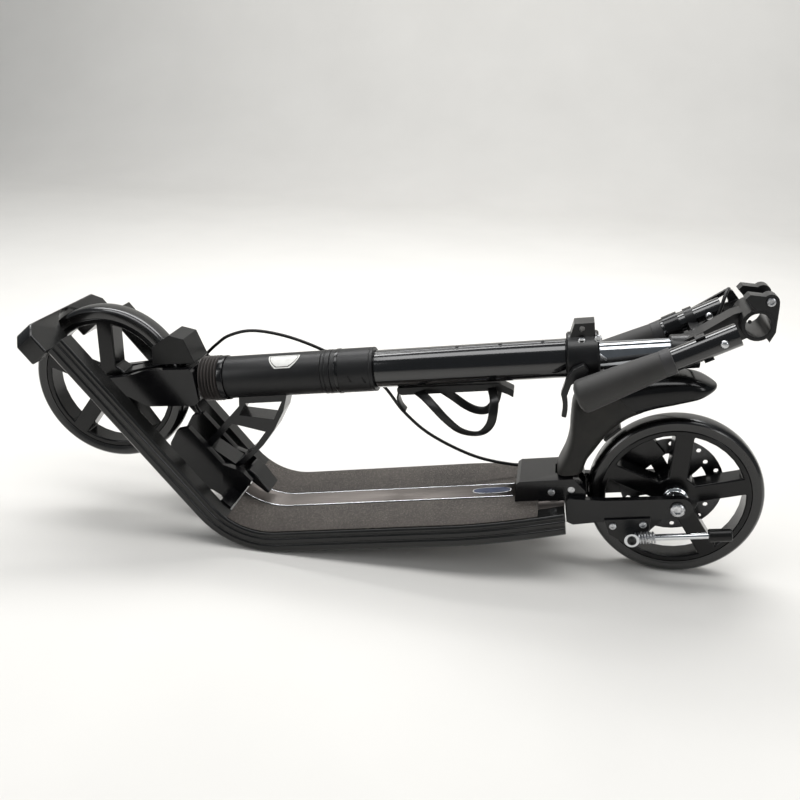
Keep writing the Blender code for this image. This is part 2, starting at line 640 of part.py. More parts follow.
def make_mudguard(axis):
    """Angular guard over the front tyre behind the crown, open underneath for the tyre."""
    frame = frame_at("mudguard_frame", axis, (HUB_U, 0.0, HUB_N))
    outline = [(0.0690, 0.0240), (0.0730, 0.0470), (0.0980, 0.0600), (0.1160, 0.0540), (0.1245, 0.0225)]
    shell = plate("front_mudguard", outline, -MUDGUARD_HALF_W, MUDGUARD_HALF_W, "grey_plastic", frame)
    room = arc((0.0, 0.0), WHEEL_R + 0.005, -10.0, 60.0, 12) + [(0.0, 0.0)]
    wall = MUDGUARD_HALF_W - TYRE_W / 2.0 - 0.0025
    half = MUDGUARD_HALF_W - wall
    hollow = plate("mudguard_room", room, -half, half, "grey_plastic", frame, guide=True)
    cut(shell, hollow)


def wheel_window(index):
    """One opening between two spokes: straight sides beside the spokes, round outer and inner ends."""
    step = 360.0 / SPOKES
    middle = 90.0 + step * (index + 0.5)

    def edge(radius):
        return step / 2.0 - math.degrees(math.asin(SPOKE_W / 2.0 / radius))

    outer, inner = edge(WINDOW_R), edge(HUB_R + 0.006)
    return (arc((0.0, 0.0), WINDOW_R, middle - outer, middle + outer, 6)
            + arc((0.0, 0.0), HUB_R + 0.006, middle + inner, middle - inner, 3))


def make_wheel(prefix, frame):
    half = RIM_W / 2.0
    tyre = [(-half, RIM_R + GAP), (-half, RIM_R + 0.003), (-TYRE_W / 2.0, RIM_R + 0.006),
            (-TYRE_W / 2.0 + 0.001, WHEEL_R - 0.006), (-TYRE_W / 2.0 + 0.0045, WHEEL_R - 0.0018), (-0.005, WHEEL_R),
            (0.005, WHEEL_R), (TYRE_W / 2.0 - 0.0045, WHEEL_R - 0.0018), (TYRE_W / 2.0 - 0.001, WHEEL_R - 0.006),
            (TYRE_W / 2.0, RIM_R + 0.006), (half, RIM_R + 0.003), (half, RIM_R + GAP)]
    turned(f"{prefix}_tyre", tyre, "Y", 40, "tyre", frame)
    windows = [wheel_window(i) for i in range(SPOKES)]
    core = plate(f"{prefix}_wheel", circle((0.0, 0.0), RIM_R, 40), -half, half, "black_coat", frame,
                 holes=[*windows, circle((0.0, 0.0), BEARING_R + GAP, 24)])
    add_bevel(core, 0.0012, angle=50.0)
    for side, sign in (("left", -1.0), ("right", 1.0)):
        near, far = sign * (half - BEARING_W), sign * half
        turned(f"{prefix}_bearing_{side}", [(near, AXLE_R + GAP), (near, BEARING_R), (far, BEARING_R),
                                            (far, AXLE_R + GAP)], "Y", 24, "steel", frame)


def make_rotor(frame):
    """Vented brake disc on the right of the rear wheel, with slots between its arms."""
    windows = []
    for i in range(5):
        middle = 90.0 + 72.0 * i
        windows.append(arc((0.0, 0.0), 0.041, middle - 24.0, middle + 24.0, 5)
                       + arc((0.0, 0.0), 0.026, middle + 17.0, middle - 17.0, 3))
    vents = []
    for i in range(20):
        a = 2.0 * math.pi * (i + 0.5) / 20
        radius = 0.0535 if i % 2 else 0.0480
        vents.append(circle((radius * math.cos(a), radius * math.sin(a)), 0.0030, 6))
    plate("brake_rotor", circle((0.0, 0.0), ROTOR_R, 40), ROTOR_Y - 0.001, ROTOR_Y + 0.001, "steel", frame,
          holes=[*windows, *vents, circle((0.0, 0.0), 0.0150, 24)])
    boss = [(RIM_W / 2.0 + GAP, BEARING_R + 0.001), (RIM_W / 2.0 + GAP, 0.021), (ROTOR_Y - 0.001 - GAP, 0.021),
            (ROTOR_Y - 0.001 - GAP, BEARING_R + 0.001)]
    turned("rotor_carrier", boss, "Y", 24, "satin_black", frame)


# ---------------------------------------------------------------- rear end
def make_rear_bracket(deck):
    """Casting behind the board with a cheek each side for the foot brake's axle, and two welded stays."""
    top = DECK_BOTTOM + RAIL_H + TAPE_T + 2 * GAP
    half = BRACKET_HALF_W
    x, z = FENDER_PIVOT
    outline = [(BRACKET_FRONT_X, top), (-0.1805, 0.0370), (-0.1760, 0.0400), (-0.1140, 0.0400), (-0.1010, 0.0240), (-0.1010, -0.0160), (DECK_REAR_X + GAP, -0.0160),
               (DECK_REAR_X + GAP, top)]
    bracket = plate("rear_bracket", outline, -half, half, "black_coat", deck)
    room = plate("bracket_room", [(-0.1345, 0.002), (-0.09, 0.002), (-0.09, 0.06), (-0.1345, 0.06)],
                 -FENDER_LUG - 0.0008, FENDER_LUG + 0.0008, "black_coat", deck, guide=True)
    bore = turned("bracket_bore", [(-0.05, 0.0), (-0.05, 0.0043), (0.05, 0.0043), (0.05, 0.0)], "Y", 16,
                  "steel", frame_at("bracket_bore_frame", deck, (x, 0.0, z)), guide=True)
    for side, sign in (("left", -1.0), ("right", 1.0)):
        stay_outline = arc((0.004, 0.0), STAY_H / 2.0 + 0.001, -80.0, 80.0, 8)
        stay_outline += [(-0.080, 0.0145), (-0.1210, 0.0190), (-0.1235, 0.0160), (-0.1235, -0.0120),
                         (-0.1180, -0.0150), (-0.080, -0.0125)]
        y0, y1 = sorted((sign * (half - 0.0005), sign * (STAY_IN + STAY_T)))
        stay = plate(f"stay_{side}", stay_outline, y0, y1, "black_coat", deck, guide=True,
                     holes=[circle((0.0, 0.0), AXLE_R + GAP, 16)])
        join(bracket, stay)
    cut(bracket, room)
    cut(bracket, bore)
    pin = [(-half + 0.001, 0.0), (-half + 0.001, 0.004), (half - 0.001, 0.004), (half - 0.001, 0.0)]
    turned("foot_brake_axle", pin, "Y", 16, "steel", frame_at("foot_brake_axle_frame", deck, (x, 0.0, z)))


def make_fender(deck):
    """Foot brake: a hollow guard that follows the tyre, with a kicked-up pedal tail and a lug below."""
    inner_r = WHEEL_R + FENDER_GAP
    x, z = FENDER_PIVOT
    frame = frame_at("foot_brake_frame", deck, (x, 0.0, z))

    def local(points):
        return [(a - x, b - z) for a, b in points]

    outer = [(-0.1330, 0.0415), (-0.1310, 0.0480), (-0.1215, 0.0640), (-0.1140, 0.0860), (-0.1110, 0.1080),
             (-0.1090, 0.1270), (-0.1020, 0.1370), (-0.0700, 0.1465), (-0.0300, 0.1515),
             (0.0050, 0.1510), (0.0340, 0.1450), (0.0500, 0.1350), (0.0520, 0.1300), (0.0330, 0.1235),
             (0.0100, 0.1190), (-0.0200, 0.1155)]
    inner = arc((0.0, 0.0), inner_r, 112.0, 157.0, 10)
    fender = plate("fender", local(outer + inner), -FENDER_HALF_W, FENDER_HALF_W, "grey_plastic", frame)
    lug_outline = [(-0.1120, 0.0750), (-0.1250, 0.0700)] + arc(FENDER_PIVOT, 0.0085, 180.0, 360.0, 8)
    lug_outline += [(-0.1030, 0.0470)]
    lug = plate("fender_lug", local(lug_outline), -FENDER_LUG, FENDER_LUG, "grey_plastic", frame, guide=True)
    join(fender, lug)
    bore = turned("fender_bore", [(-0.05, 0.0), (-0.05, 0.0043), (0.05, 0.0043), (0.05, 0.0)], "Y", 16,
                  "steel", frame, guide=True)
    cut(fender, bore)
    angle = math.radians(128.0)
    reach = inner_r - GAP
    shoe_frame = frame_at("brake_shoe_frame", deck, (reach * math.cos(angle), 0.0, reach * math.sin(angle)),
                          angle - math.pi / 2.0)
    plate("brake_shoe", [(-0.012, -0.0045), (0.012, -0.0045), (0.012, -0.0008), (-0.012, -0.0008)], -0.011, 0.011,
          "satin_black", shoe_frame)


def make_kickstand(deck):
    x, z = KICK_PIVOT
    face = -STAY_IN - STAY_T - GAP
    bracket = [(-0.082, -0.0090), (-0.030, -0.0090), (-0.034, -0.034), (-0.045, -0.040), (-0.062, -0.040),
               (-0.078, -0.028)]
    plate("kickstand_bracket", bracket, face - 0.003, face, "black_coat", deck, holes=[circle((x, z), 0.0035, 12)])
    frame = frame_at("kickstand_frame", deck, (x, KICK_Y, z))
    inside = face - 0.003 - KICK_Y - GAP
    hub = [(-0.006, 0.0), (-0.006, 0.0085), (inside, 0.0085), (inside, 0.0032), (inside + 0.0034, 0.0032),
           (inside + 0.0034, 0.0)]
    leg = turned("kickstand_leg", hub, "Y", 20, "chrome", frame)
    rod = turned("kickstand_rod", [(0.004, 0.0), (0.004, 0.0036), (KICK_L - 0.022, 0.0036), (KICK_L - 0.022, 0.0)],
                 "X", 16, "chrome", frame, guide=True)
    join(leg, rod)
    turned("kickstand_foot", [(KICK_L - 0.024, 0.0040), (KICK_L - 0.024, 0.0075), (KICK_L, 0.0075),
                                     (KICK_L + 0.001, 0.006), (KICK_L + 0.001, 0.0),
                                     (KICK_L - 0.0215, 0.0), (KICK_L - 0.0215, 0.0040)], "X", 16,
                  "satin_black", frame)


def make_calliper(deck):
    """Mechanical calliper over the rotor's upper front, on its bracket from the right stay."""
    centre = 0.049
    angle = math.radians(128.0)
    cx, cz = centre * math.cos(angle), centre * math.sin(angle)
    frame = frame_at("calliper_frame", deck, (cx, 0.0, cz), angle - math.pi / 2.0)
    high = STAY_IN - GAP
    body = plate("calliper", [(-0.022, -0.012), (0.022, -0.012), (0.024, 0.014), (0.012, 0.020), (-0.020, 0.020),
                              (-0.024, 0.006)], ROTOR_Y - 0.0055, high, "satin_black", frame)
    slot = plate("calliper_slot", [(-0.03, -0.02), (0.03, -0.02), (0.03, 0.0135), (-0.03, 0.0135)],
                 ROTOR_Y - 0.0022, ROTOR_Y + 0.0022, "steel", frame, guide=True)
    cut(body, slot)


# ---------------------------------------------------------------- handlebar
def make_handlebar(axis):
    """Chrome inner tube and the T-head: sleeve, neck, crossbar socket, and clips for the folded grips."""
    turned("inner_tube", [(INNER_START, INNER_R - 0.002), (INNER_START, INNER_R), (INNER_END, INNER_R),
                          (INNER_END, INNER_R - 0.002)], "X", 28, "chrome", axis)
    head = turned("t_head", [(0.596, 0.0), (0.596, 0.0185), (0.5975, 0.0195), (0.626, 0.0195), (0.626, 0.0)],
                  "X", 28, "black_coat", axis)
    neck = plate("t_neck", [(0.600, 0.012), (0.628, 0.024), (0.660, 0.042), (0.676, 0.046), (0.690, 0.020),
                            (0.672, 0.014), (0.625, -0.008), (0.612, -0.010)], -0.012, 0.012, "black_coat", axis,
                 guide=True)
    lobe_outline = arc((T_U, T_N), T_R, 100.0, 300.0, 14)
    lobe_outline += [(0.6935, 0.0135), (0.6995, 0.024), (0.7025, 0.052)] + arc((0.694, 0.057), 0.0085, 0.0, 130.0, 6)
    lobe_outline += [(0.6735, 0.0665), (0.6690, 0.0620), (0.6760, 0.0530)]
    lobes = plate("t_lobes", lobe_outline, -T_HALF_W, T_HALF_W, "black_coat", axis, guide=True)
    join(head, neck)
    join(head, lobes)
    gap = plate("t_lobe_gap", [(0.660, 0.0515), (0.720, 0.0515), (0.720, 0.08), (0.660, 0.08)], -0.0125, 0.0125,
                "black_coat", axis, guide=True)
    cut(head, gap)
    along = (0.625 - GRIP_END[0]) / math.cos(GRIP_DROOP)
    for side, sign in (("left", -1.0), ("right", 1.0)):
        frame = frame_at(f"clip_{side}_frame", axis, (GRIP_END[0], sign * GRIP_Y, GRIP_END[1]), GRIP_DROOP)
        inner, outer = GRIP_TUBE_R + GAP, GRIP_TUBE_R + 0.0028
        middle = 180.0 if sign > 0 else 0.0
        outline = arc((0.0, 0.0), outer, middle - 112.0, middle + 112.0, 16)
        outline += arc((0.0, 0.0), inner, middle + 112.0, middle - 112.0, 16)
        band = plate(f"clip_{side}", outline, along - 0.005, along + 0.005, "black_coat", frame, axis="X",
                     guide=True)
        join(head, band)
        y0, y1 = sorted((sign * 0.010, sign * (GRIP_Y - GRIP_TUBE_R - 0.0008)))
        arm = plate(f"clip_arm_{side}", [(0.6195, 0.0125), (0.6305, 0.0125), (0.6305, 0.0215), (0.6195, 0.0215)],
                    y0, y1, "black_coat", axis, guide=True)
        join(head, arm)
    reach = T_HALF_W + 0.01
    bore = turned("t_bore", [(-reach, 0.0), (-reach, T_BORE), (reach, T_BORE), (reach, 0.0)], "Y", 24,
                  "black_coat", frame_at("t_bore_frame", axis, (T_U, 0.0, T_N)), guide=True)
    cut(head, bore)
    stem_bore = turned("t_stem_bore", [(0.580, 0.0), (0.580, INNER_R + GAP), (INNER_END + GAP, INNER_R + GAP),
                                       (INNER_END + GAP, 0.0)], "X", 28, "black_coat", axis, guide=True)
    cut(head, stem_bore)


def make_grip(side, axis):
    """One folded grip: its tube hangs from the T-head's clip, with the rubber, its collar and a snap button."""
    sign = -1.0 if side == "left" else 1.0
    frame = frame_at(f"{side}_grip_frame", axis, (GRIP_END[0], sign * GRIP_Y, GRIP_END[1]), GRIP_DROOP)
    bore = GRIP_TUBE_R - 0.0018
    pipe = turned(f"{side}_grip_tube", [(-GRIP_TUBE_L, bore), (-GRIP_TUBE_L, GRIP_TUBE_R), (0.0, GRIP_TUBE_R),
                                        (0.0, bore)], "X", 24, "black_coat", frame)
    button_frame = frame_at(f"{side}_button_frame", frame, (BUTTON_ALONG, 0.0, 0.0))
    near = GRIP_TUBE_R - 0.006
    hole = turned(f"{side}_button_hole", [(-0.02, 0.0), (-0.02, BUTTON_R + GAP), (-near, BUTTON_R + GAP),
                                          (-near, 0.0)], "Y", 16, "steel", button_frame, guide=True)
    cut(pipe, hole)
    tip = GRIP_TUBE_R + BUTTON_PROUD
    button = [(-tip, 0.0), (-tip, BUTTON_R - 0.0016), (0.0015 - tip, BUTTON_R), (0.0045 - bore, BUTTON_R),
              (0.0045 - bore, 0.0)]
    turned(f"{side}_snap_button", button, "Y", 16, "steel", button_frame)
    start = -GRIP_LENGTH
    rubber = [(start, 0.0), (start, GRIP_R - 0.005), (start + 0.0025, GRIP_R - 0.001), (start + 0.008, GRIP_R),
              (start + 0.030, GRIP_R - 0.0010), (start + 0.060, GRIP_R - 0.0022), (start + 0.085, GRIP_R - 0.0022),
              (start + GRIP_L - 0.010, GRIP_R - 0.0012), (start + GRIP_L - 0.008, GRIP_R - 0.0005),
              (start + GRIP_L - 0.001, GRIP_R - 0.0005), (start + GRIP_L, GRIP_R - 0.0015),
              (start + GRIP_L, GRIP_TUBE_R + GAP), (-GRIP_TUBE_L - GAP, GRIP_TUBE_R + GAP),
              (-GRIP_TUBE_L - GAP, 0.0)]
    turned(f"{side}_grip", rubber, "X", 24, "rubber", frame)
    return frame


def make_brake_lever(axis, grip):
    """Perch on the right grip's tube with an arm to the pivot, and the lever blade beside it."""
    ring = turned("lever_bracket", [(-0.0655, GRIP_TUBE_R + GAP), (-0.0655, GRIP_TUBE_R + 0.0036), (-0.0480, GRIP_TUBE_R + 0.0036),
                                    (-0.0480, GRIP_TUBE_R + GAP)], "X", 28, "satin_black", grip)
    pu, pn = LEVER_PIVOT
    arm_outline = arc(LEVER_PIVOT, 0.0062, -70.0, 110.0, 8) + [(0.640, 0.026), (0.608, 0.020), (0.604, 0.007)]
    arm = plate("lever_arm", arm_outline, GRIP_Y + GRIP_TUBE_R + 0.0008, LEVER_Y[0] - GAP, "satin_black", axis,
                guide=True)
    join(ring, arm)
    hole = turned("lever_hole", [(0.0, 0.0), (0.0, 0.0025), (0.1, 0.0025), (0.1, 0.0)], "Y", 16, "satin_black",
                  frame_at("lever_hole_frame", axis, (pu, 0.0, pn)), guide=True)
    cut(ring, hole)
    slot = arc((0.6075, 0.0105), 0.0032, 110.0, 290.0, 5) + arc((0.6225, 0.0150), 0.0032, -70.0, 110.0, 5)
    blade = [(0.6665, 0.0485), (0.6730, 0.0465), (0.6835, 0.0300), (0.6815, 0.0250), (0.6750, 0.0235),
             (0.6700, 0.0275), (0.6655, 0.0430), (0.6400, 0.0280), (0.6345, 0.0225), (0.6340, 0.0050),
             (0.5950, 0.0025), (0.5700, 0.0030), (0.5690, 0.0075), (0.5990, 0.0195), (0.6290, 0.0285)]
    lever = plate("brake_lever", blade, *LEVER_Y, "black_coat", axis, holes=[slot])
    pin_end = GRIP_Y + GRIP_TUBE_R + 0.0020
    pin = turned("lever_pin", [(pin_end, 0.0), (pin_end, 0.0022), (LEVER_Y[0] + 0.001, 0.0022),
                               (LEVER_Y[0] + 0.001, 0.0)], "Y", 16, "black_coat",
                 frame_at("lever_pin_frame", axis, (pu, 0.0, pn)), guide=True)
    join(lever, pin)


def make_cables(deck, axis):
    """Brake cable in five lengths that meet end to end: calliper, hinge, neck, stem, T-head, lever."""
    def length(name, frame, points):
        route = smooth_route(points, 0.012)
        route[0] += (route[1] - route[0]).normalized() * CABLE_END_GAP
        route[-1] += (route[-2] - route[-1]).normalized() * CABLE_END_GAP
        bent_rod(name, route, CABLE_R, "cable", frame)

    clip_x, clip_y, clip_z = DECK_CLIP
    centre = (BEND_X, DECK_BOTTOM + BEND_R)
    bend = []
    for degrees in (58.0, 45.0, 30.0, 15.0):
        a = math.radians(degrees)
        bend.append((centre[0] - 0.1035 * math.sin(a), clip_y, centre[1] - 0.1035 * math.cos(a)))
    low = DECK_BOTTOM + 0.0075
    length("brake_cable_deck", deck, [
        DECK_CLIP, (-0.5800, clip_y, 0.0760), *bend, (BEND_X + 0.02, clip_y + 0.001, low),
        (-0.300, 0.0380, low), (-0.180, 0.0400, low), (-0.135, 0.0425, 0.0000), (-0.112, 0.0428, 0.0150),
        (-0.092, 0.0410, 0.0400), (-0.073, 0.0350, 0.0650), (-0.058, 0.0275, 0.0720)])
    guide_u, guide_y, guide_n = NECK_CLIP
    du, dz = clip_x - PIVOT[0], clip_z - PIVOT[1]
    c, s = math.cos(STEM_SLOPE), math.sin(STEM_SLOPE)
    deck_end = (du * c + dz * s, clip_y, -du * s + dz * c - STEM_OFFSET)
    length("brake_cable_lower", axis, [
        NECK_CLIP, (guide_u - 0.014, guide_y + 0.001, guide_n - 0.006), (0.0040, guide_y + 0.001, -0.0180),
        (0.0020, guide_y, -0.0500), (deck_end[0] - 0.003, clip_y, deck_end[2] + 0.018), deck_end])
    length("brake_cable_loop", axis, [
        NECK_CLIP, (0.0480, 0.0350, 0.0330), (0.0700, 0.0300, 0.0450), (0.1030, 0.0270, 0.0500),
        (0.1450, 0.0270, 0.0400), (0.1870, 0.0300, 0.0190), STEM_CLIP])
    length("brake_cable_upper", axis, [
        STEM_CLIP, (0.2560, 0.0360, -0.0340), (0.2780, 0.0390, -0.0720), (0.3080, 0.0400, -0.1050),
        (0.3560, 0.0400, -0.1350), (0.3990, 0.0400, -0.1490), (0.4390, 0.0420, -0.1540),
        (0.4720, 0.0460, -0.1450), (0.5060, 0.0480, -0.1250), (0.5420, 0.0480, -0.0960),
        (0.5800, 0.0470, -0.0640), (0.6100, 0.0410, -0.0380), (0.6300, 0.0365, -0.0170), T_CLIP])
    length("brake_cable_lever", axis, [
        T_CLIP, (0.6480, 0.0345, 0.0180), (0.6540, 0.0350, 0.0340), (0.6600, 0.0420, 0.0475),
        (0.6650, 0.0540, 0.0520), (0.6680, 0.0640, 0.0500)])


def build():
    for old in list(bpy.data.objects):
        bpy.data.objects.remove(old, do_unlink=True)
    assembly = frame_at("assembly", None, (SHIFT_X, 0.0, WHEEL_R))
    deck = frame_at("deck_frame", assembly, pitch=REST_TILT)
    stem = frame_at("stem_frame", deck, (PIVOT[0], 0.0, PIVOT[1]), STEM_SLOPE)
    axis = frame_at("steering_frame", stem, (0.0, 0.0, STEM_OFFSET))
    hub_x, hub_z = deck_to_world_offset(*FRONT_HUB)
    front = frame_at("front_wheel_frame", assembly, (hub_x, 0.0, hub_z))
    rear = frame_at("rear_wheel_frame", assembly)

    make_rails(deck)
    make_board_and_tapes(deck)
    make_nose(deck)
    make_hinge(deck)
    make_fold_pedal(deck)
    make_neck(stem)
    make_head(axis)
    make_stem(axis)
    make_bellows(axis)
    make_clamp(axis)
    make_clamp_lever(axis)
    make_cage(axis)
    make_fork(axis)
    make_mudguard(axis)
    make_wheel("front", front)
    make_wheel("rear", rear)
    make_rotor(rear)
    make_rear_bracket(deck)
    make_fender(deck)
    make_kickstand(deck)
    make_calliper(deck)
    outer = LEG_IN + LEG_T
    make_axle("front_axle", front, outer)
    make_axle("rear_axle", rear, STAY_IN + STAY_T)
    make_handlebar(axis)
    make_grip("left", axis)
    make_brake_lever(axis, make_grip("right", axis))
    make_cables(deck, axis)


build()
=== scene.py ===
"""Folded adult kick scooter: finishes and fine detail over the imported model, all in metres."""
import json
import math

import bmesh
import bpy
import numpy as np
from mathutils import Matrix, Vector


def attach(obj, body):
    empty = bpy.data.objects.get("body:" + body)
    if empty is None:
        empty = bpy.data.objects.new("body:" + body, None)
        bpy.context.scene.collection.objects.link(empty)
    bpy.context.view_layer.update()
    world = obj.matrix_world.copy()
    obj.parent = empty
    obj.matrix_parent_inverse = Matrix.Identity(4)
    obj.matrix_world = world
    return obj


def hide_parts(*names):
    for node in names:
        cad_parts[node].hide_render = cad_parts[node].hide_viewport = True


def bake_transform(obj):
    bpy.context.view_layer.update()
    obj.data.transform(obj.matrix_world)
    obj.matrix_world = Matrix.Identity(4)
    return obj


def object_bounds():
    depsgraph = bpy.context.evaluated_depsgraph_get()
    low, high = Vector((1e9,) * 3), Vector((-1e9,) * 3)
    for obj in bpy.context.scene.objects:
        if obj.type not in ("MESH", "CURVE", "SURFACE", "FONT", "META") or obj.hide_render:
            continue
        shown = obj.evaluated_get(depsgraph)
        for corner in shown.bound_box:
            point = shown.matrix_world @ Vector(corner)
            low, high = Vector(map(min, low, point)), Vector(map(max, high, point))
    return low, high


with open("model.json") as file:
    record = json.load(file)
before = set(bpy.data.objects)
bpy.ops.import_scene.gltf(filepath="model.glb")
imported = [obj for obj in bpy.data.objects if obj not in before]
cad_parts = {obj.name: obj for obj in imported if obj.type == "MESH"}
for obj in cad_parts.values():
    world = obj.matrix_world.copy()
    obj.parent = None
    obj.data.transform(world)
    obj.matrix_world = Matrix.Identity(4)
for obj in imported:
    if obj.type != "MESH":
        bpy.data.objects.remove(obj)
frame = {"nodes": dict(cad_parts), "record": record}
cad_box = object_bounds()
record = frame["record"]
joints = {joint["name"]: joint for joint in record["behaviour"]["joints"]}
node_body = {node: body for body, nodes in record["behaviour"]["bodies"].items() for node in nodes}


# ---------------------------------------------------------------- places on the scooter
class Place:
    """A frame on the scooter: x along it, y to its right and z up from it, turned about y by an angle."""

    def __init__(self, origin, angle):
        self.origin = np.asarray(origin, float)
        self.angle = angle
        c, s = math.cos(angle), math.sin(angle)
        self.axes = np.array([(c, 0.0, s), (0.0, 1.0, 0.0), (-s, 0.0, c)])

    def world(self, points):
        """Origin plus x, y and z times the frame's own axes."""
        return self.origin + np.asarray(points, float) @ self.axes

    def child(self, point, turn=0.0):
        return Place(self.world(point), self.angle + turn)


up = record["mounts"][0]["axis"]
DECK = Place(joints["rear_wheel_spin"]["pos_m"], math.atan2(-up[0], up[2]))
stem_axis = np.array(joints["steering"]["axis"])
STEM_ANGLE = math.atan2(stem_axis[2], stem_axis[0])
STEM = Place(np.array(joints["steering"]["pos_m"]) - 0.080 * stem_axis, STEM_ANGLE)
FRONT_HUB = Place(joints["front_wheel_spin"]["pos_m"], STEM_ANGLE)
REAR_HUB = Place(joints["rear_wheel_spin"]["pos_m"], DECK.angle)
FOLD = Place(joints["fold"]["pos_m"], DECK.angle)
KICK = Place(joints["kickstand_swing"]["pos_m"], DECK.angle)
DROOP = math.radians(20.6)
GRIP_Y = 0.052
SIDES = (("left", -1.0), ("right", 1.0))
GRIPS = {side: STEM.child((0.6585, sign * GRIP_Y, 0.0325), DROOP) for side, sign in SIDES}


# ---------------------------------------------------------------- colours and nodes
def linear(code):
    """Linear RGBA of an sRGB hex colour: below 0.04045 over 12.92, else ((c + 0.055) / 1.055) to the 2.4."""
    values = [int(code[i:i + 2], 16) / 255.0 for i in (1, 3, 5)]
    return (*(v / 12.92 if v <= 0.04045 else ((v + 0.055) / 1.055) ** 2.4 for v in values), 1.0)


def add(tree, kind, settings=(), links=()):
    """Adds one node: settings by property or input name, links from sockets to input names."""
    node = tree.nodes.new(kind)
    for key, value in dict(settings).items():
        if isinstance(key, str) and hasattr(node, key):
            setattr(node, key, value)
        else:
            node.inputs[key].default_value = value
    for key, socket in dict(links).items():
        tree.links.new(socket, node.inputs[key])
    return node


def begin(name, **settings):
    """A new material with its shader set, and the Object coordinates its patterns read."""
    made = bpy.data.materials.new(name)
    made.use_nodes = True
    tree = made.node_tree
    shader = tree.nodes["Principled BSDF"]
    for key, value in settings.items():
        shader.inputs[key.replace("_", " ")].default_value = value
    where = add(tree, "ShaderNodeTexCoord").outputs["Object"]
    return made, tree, shader, where


def noise(tree, where, scale, detail=3.0, rough=0.55, **more):
    """Fractal noise from 0 to 1, with `scale` cells to the metre."""
    return add(tree, "ShaderNodeTexNoise", {"Scale": scale, "Detail": detail, "Roughness": rough, **more},
               {"Vector": where}).outputs["Fac"]


def ramp(tree, factor, stops):
    """Colour ramp over (position, sRGB hex) stops."""
    node = add(tree, "ShaderNodeValToRGB", links={"Fac": factor})
    band = node.color_ramp
    while len(band.elements) < len(stops):
        band.elements.new(0.5)
    for element, (position, code) in zip(band.elements, stops):
        element.position = position
        element.color = linear(code)
    return node.outputs["Color"]


def span(tree, factor, low, high):
    """Maps 0..1 to low..high."""
    node = add(tree, "ShaderNodeMapRange", {"To Min": low, "To Max": high}, {"Value": factor})
    return node.outputs["Result"]


def bump(tree, shader, height, strength, depth):
    """Relief on the shader's normal: `depth` is the height in metres of a full step of the pattern."""
    node = add(tree, "ShaderNodeBump", {"Strength": strength, "Distance": depth}, {"Height": height})
    tree.links.new(node.outputs["Normal"], shader.inputs["Normal"])
    return node


def turned_coords(tree, where, place, scale):
    """Object coordinates moved to a place's origin, turned into its frame and stretched."""
    return add(tree, "ShaderNodeMapping", {"vector_type": "TEXTURE", "Location": tuple(place.origin),
                                           "Rotation": (0.0, -place.angle, 0.0), "Scale": scale},
               {"Vector": where}).outputs["Vector"]


# ---------------------------------------------------------------- materials
def powder_coat(name, colour, rough, peel):
    """Baked black polyester powder on cast and welded metal: glossy skin over a fine orange peel."""
    made, tree, shader, where = begin(name, IOR=1.40, Coat_Weight=0.12, Coat_Roughness=0.10)
    # broad, faint change of shade where the powder lies thinner, about every 40 mm
    shade = noise(tree, where, 25.0)
    tree.links.new(ramp(tree, shade, [(0.35, colour[0]), (0.70, colour[1])]), shader.inputs["Base Color"])
    # handled patches are duller, about every 15 mm
    handled = noise(tree, where, 65.0, 4.0)
    tree.links.new(span(tree, handled, rough - 0.06, rough + 0.10), shader.inputs["Roughness"])
    # orange peel is about 0.6 mm across; drawn at 1.2 mm so that it shows
    bump(tree, shader, noise(tree, where, 830.0, 2.0), peel, 0.0004)
    return made


def anodised_aluminium():
    """Side rails: extruded aluminium, blasted and anodised black, with faint lengthwise draw lines."""
    made, tree, shader, where = begin("anodised_black_aluminium", IOR=1.40, Coat_Weight=0.2, Coat_Roughness=0.12)
    along = turned_coords(tree, where, DECK, (0.060, 0.0012, 0.0012))
    lines = noise(tree, along, 1.0, 2.0)
    tree.links.new(ramp(tree, lines, [(0.30, "#0b0b0b"), (0.75, "#171716")]), shader.inputs["Base Color"])
    scuffs = noise(tree, where, 90.0, 5.0)
    tree.links.new(span(tree, scuffs, 0.14, 0.32), shader.inputs["Roughness"])
    # blasted grain, about 0.4 mm, drawn at 0.9 mm so that it shows
    bump(tree, shader, noise(tree, where, 1100.0, 2.0), 0.10, 0.0003)
    return made


def glossy_paint():
    """Stem tube: black baked enamel with a clear, almost mirror-like skin and small dust nibs."""
    made, tree, shader, where = begin("black_enamel_tube", IOR=1.5, Roughness=0.16, Coat_Weight=0.7,
                                      Coat_Roughness=0.05)
    tree.links.new(ramp(tree, noise(tree, where, 30.0), [(0.3, "#060607"), (0.8, "#0d0d0f")]),
                   shader.inputs["Base Color"])
    bump(tree, shader, noise(tree, where, 300.0, 2.0), 0.05, 0.0003)
    return made


def satin_enamel():
    """Head tube and sleeve: black baked enamel with a satin skin, so highlights are broad and soft."""
    made, tree, shader, where = begin("black_satin_enamel", IOR=1.38, Coat_Weight=0.05, Coat_Roughness=0.3)
    tree.links.new(ramp(tree, noise(tree, where, 22.0), [(0.3, "#0e0e0f"), (0.8, "#181819")]),
                   shader.inputs["Base Color"])
    tree.links.new(span(tree, noise(tree, where, 120.0, 4.0), 0.34, 0.50), shader.inputs["Roughness"])
    bump(tree, shader, noise(tree, where, 900.0, 2.0), 0.08, 0.0003)
    return made


def moulded_plastic(name, dark, light, rough, grain_mm, strength):
    """Injection-moulded ABS or nylon: even colour, spark-eroded grain, scuffs that lighten the high spots."""
    made, tree, shader, where = begin(name, IOR=1.38)
    scuff = noise(tree, where, 45.0, 6.0, 0.65)
    tree.links.new(ramp(tree, scuff, [(0.40, dark), (0.72, light)]), shader.inputs["Base Color"])
    tree.links.new(span(tree, scuff, rough - 0.05, rough + 0.12), shader.inputs["Roughness"])
    bump(tree, shader, noise(tree, where, 1000.0 / grain_mm, 3.0), strength, 0.0004)
    return made


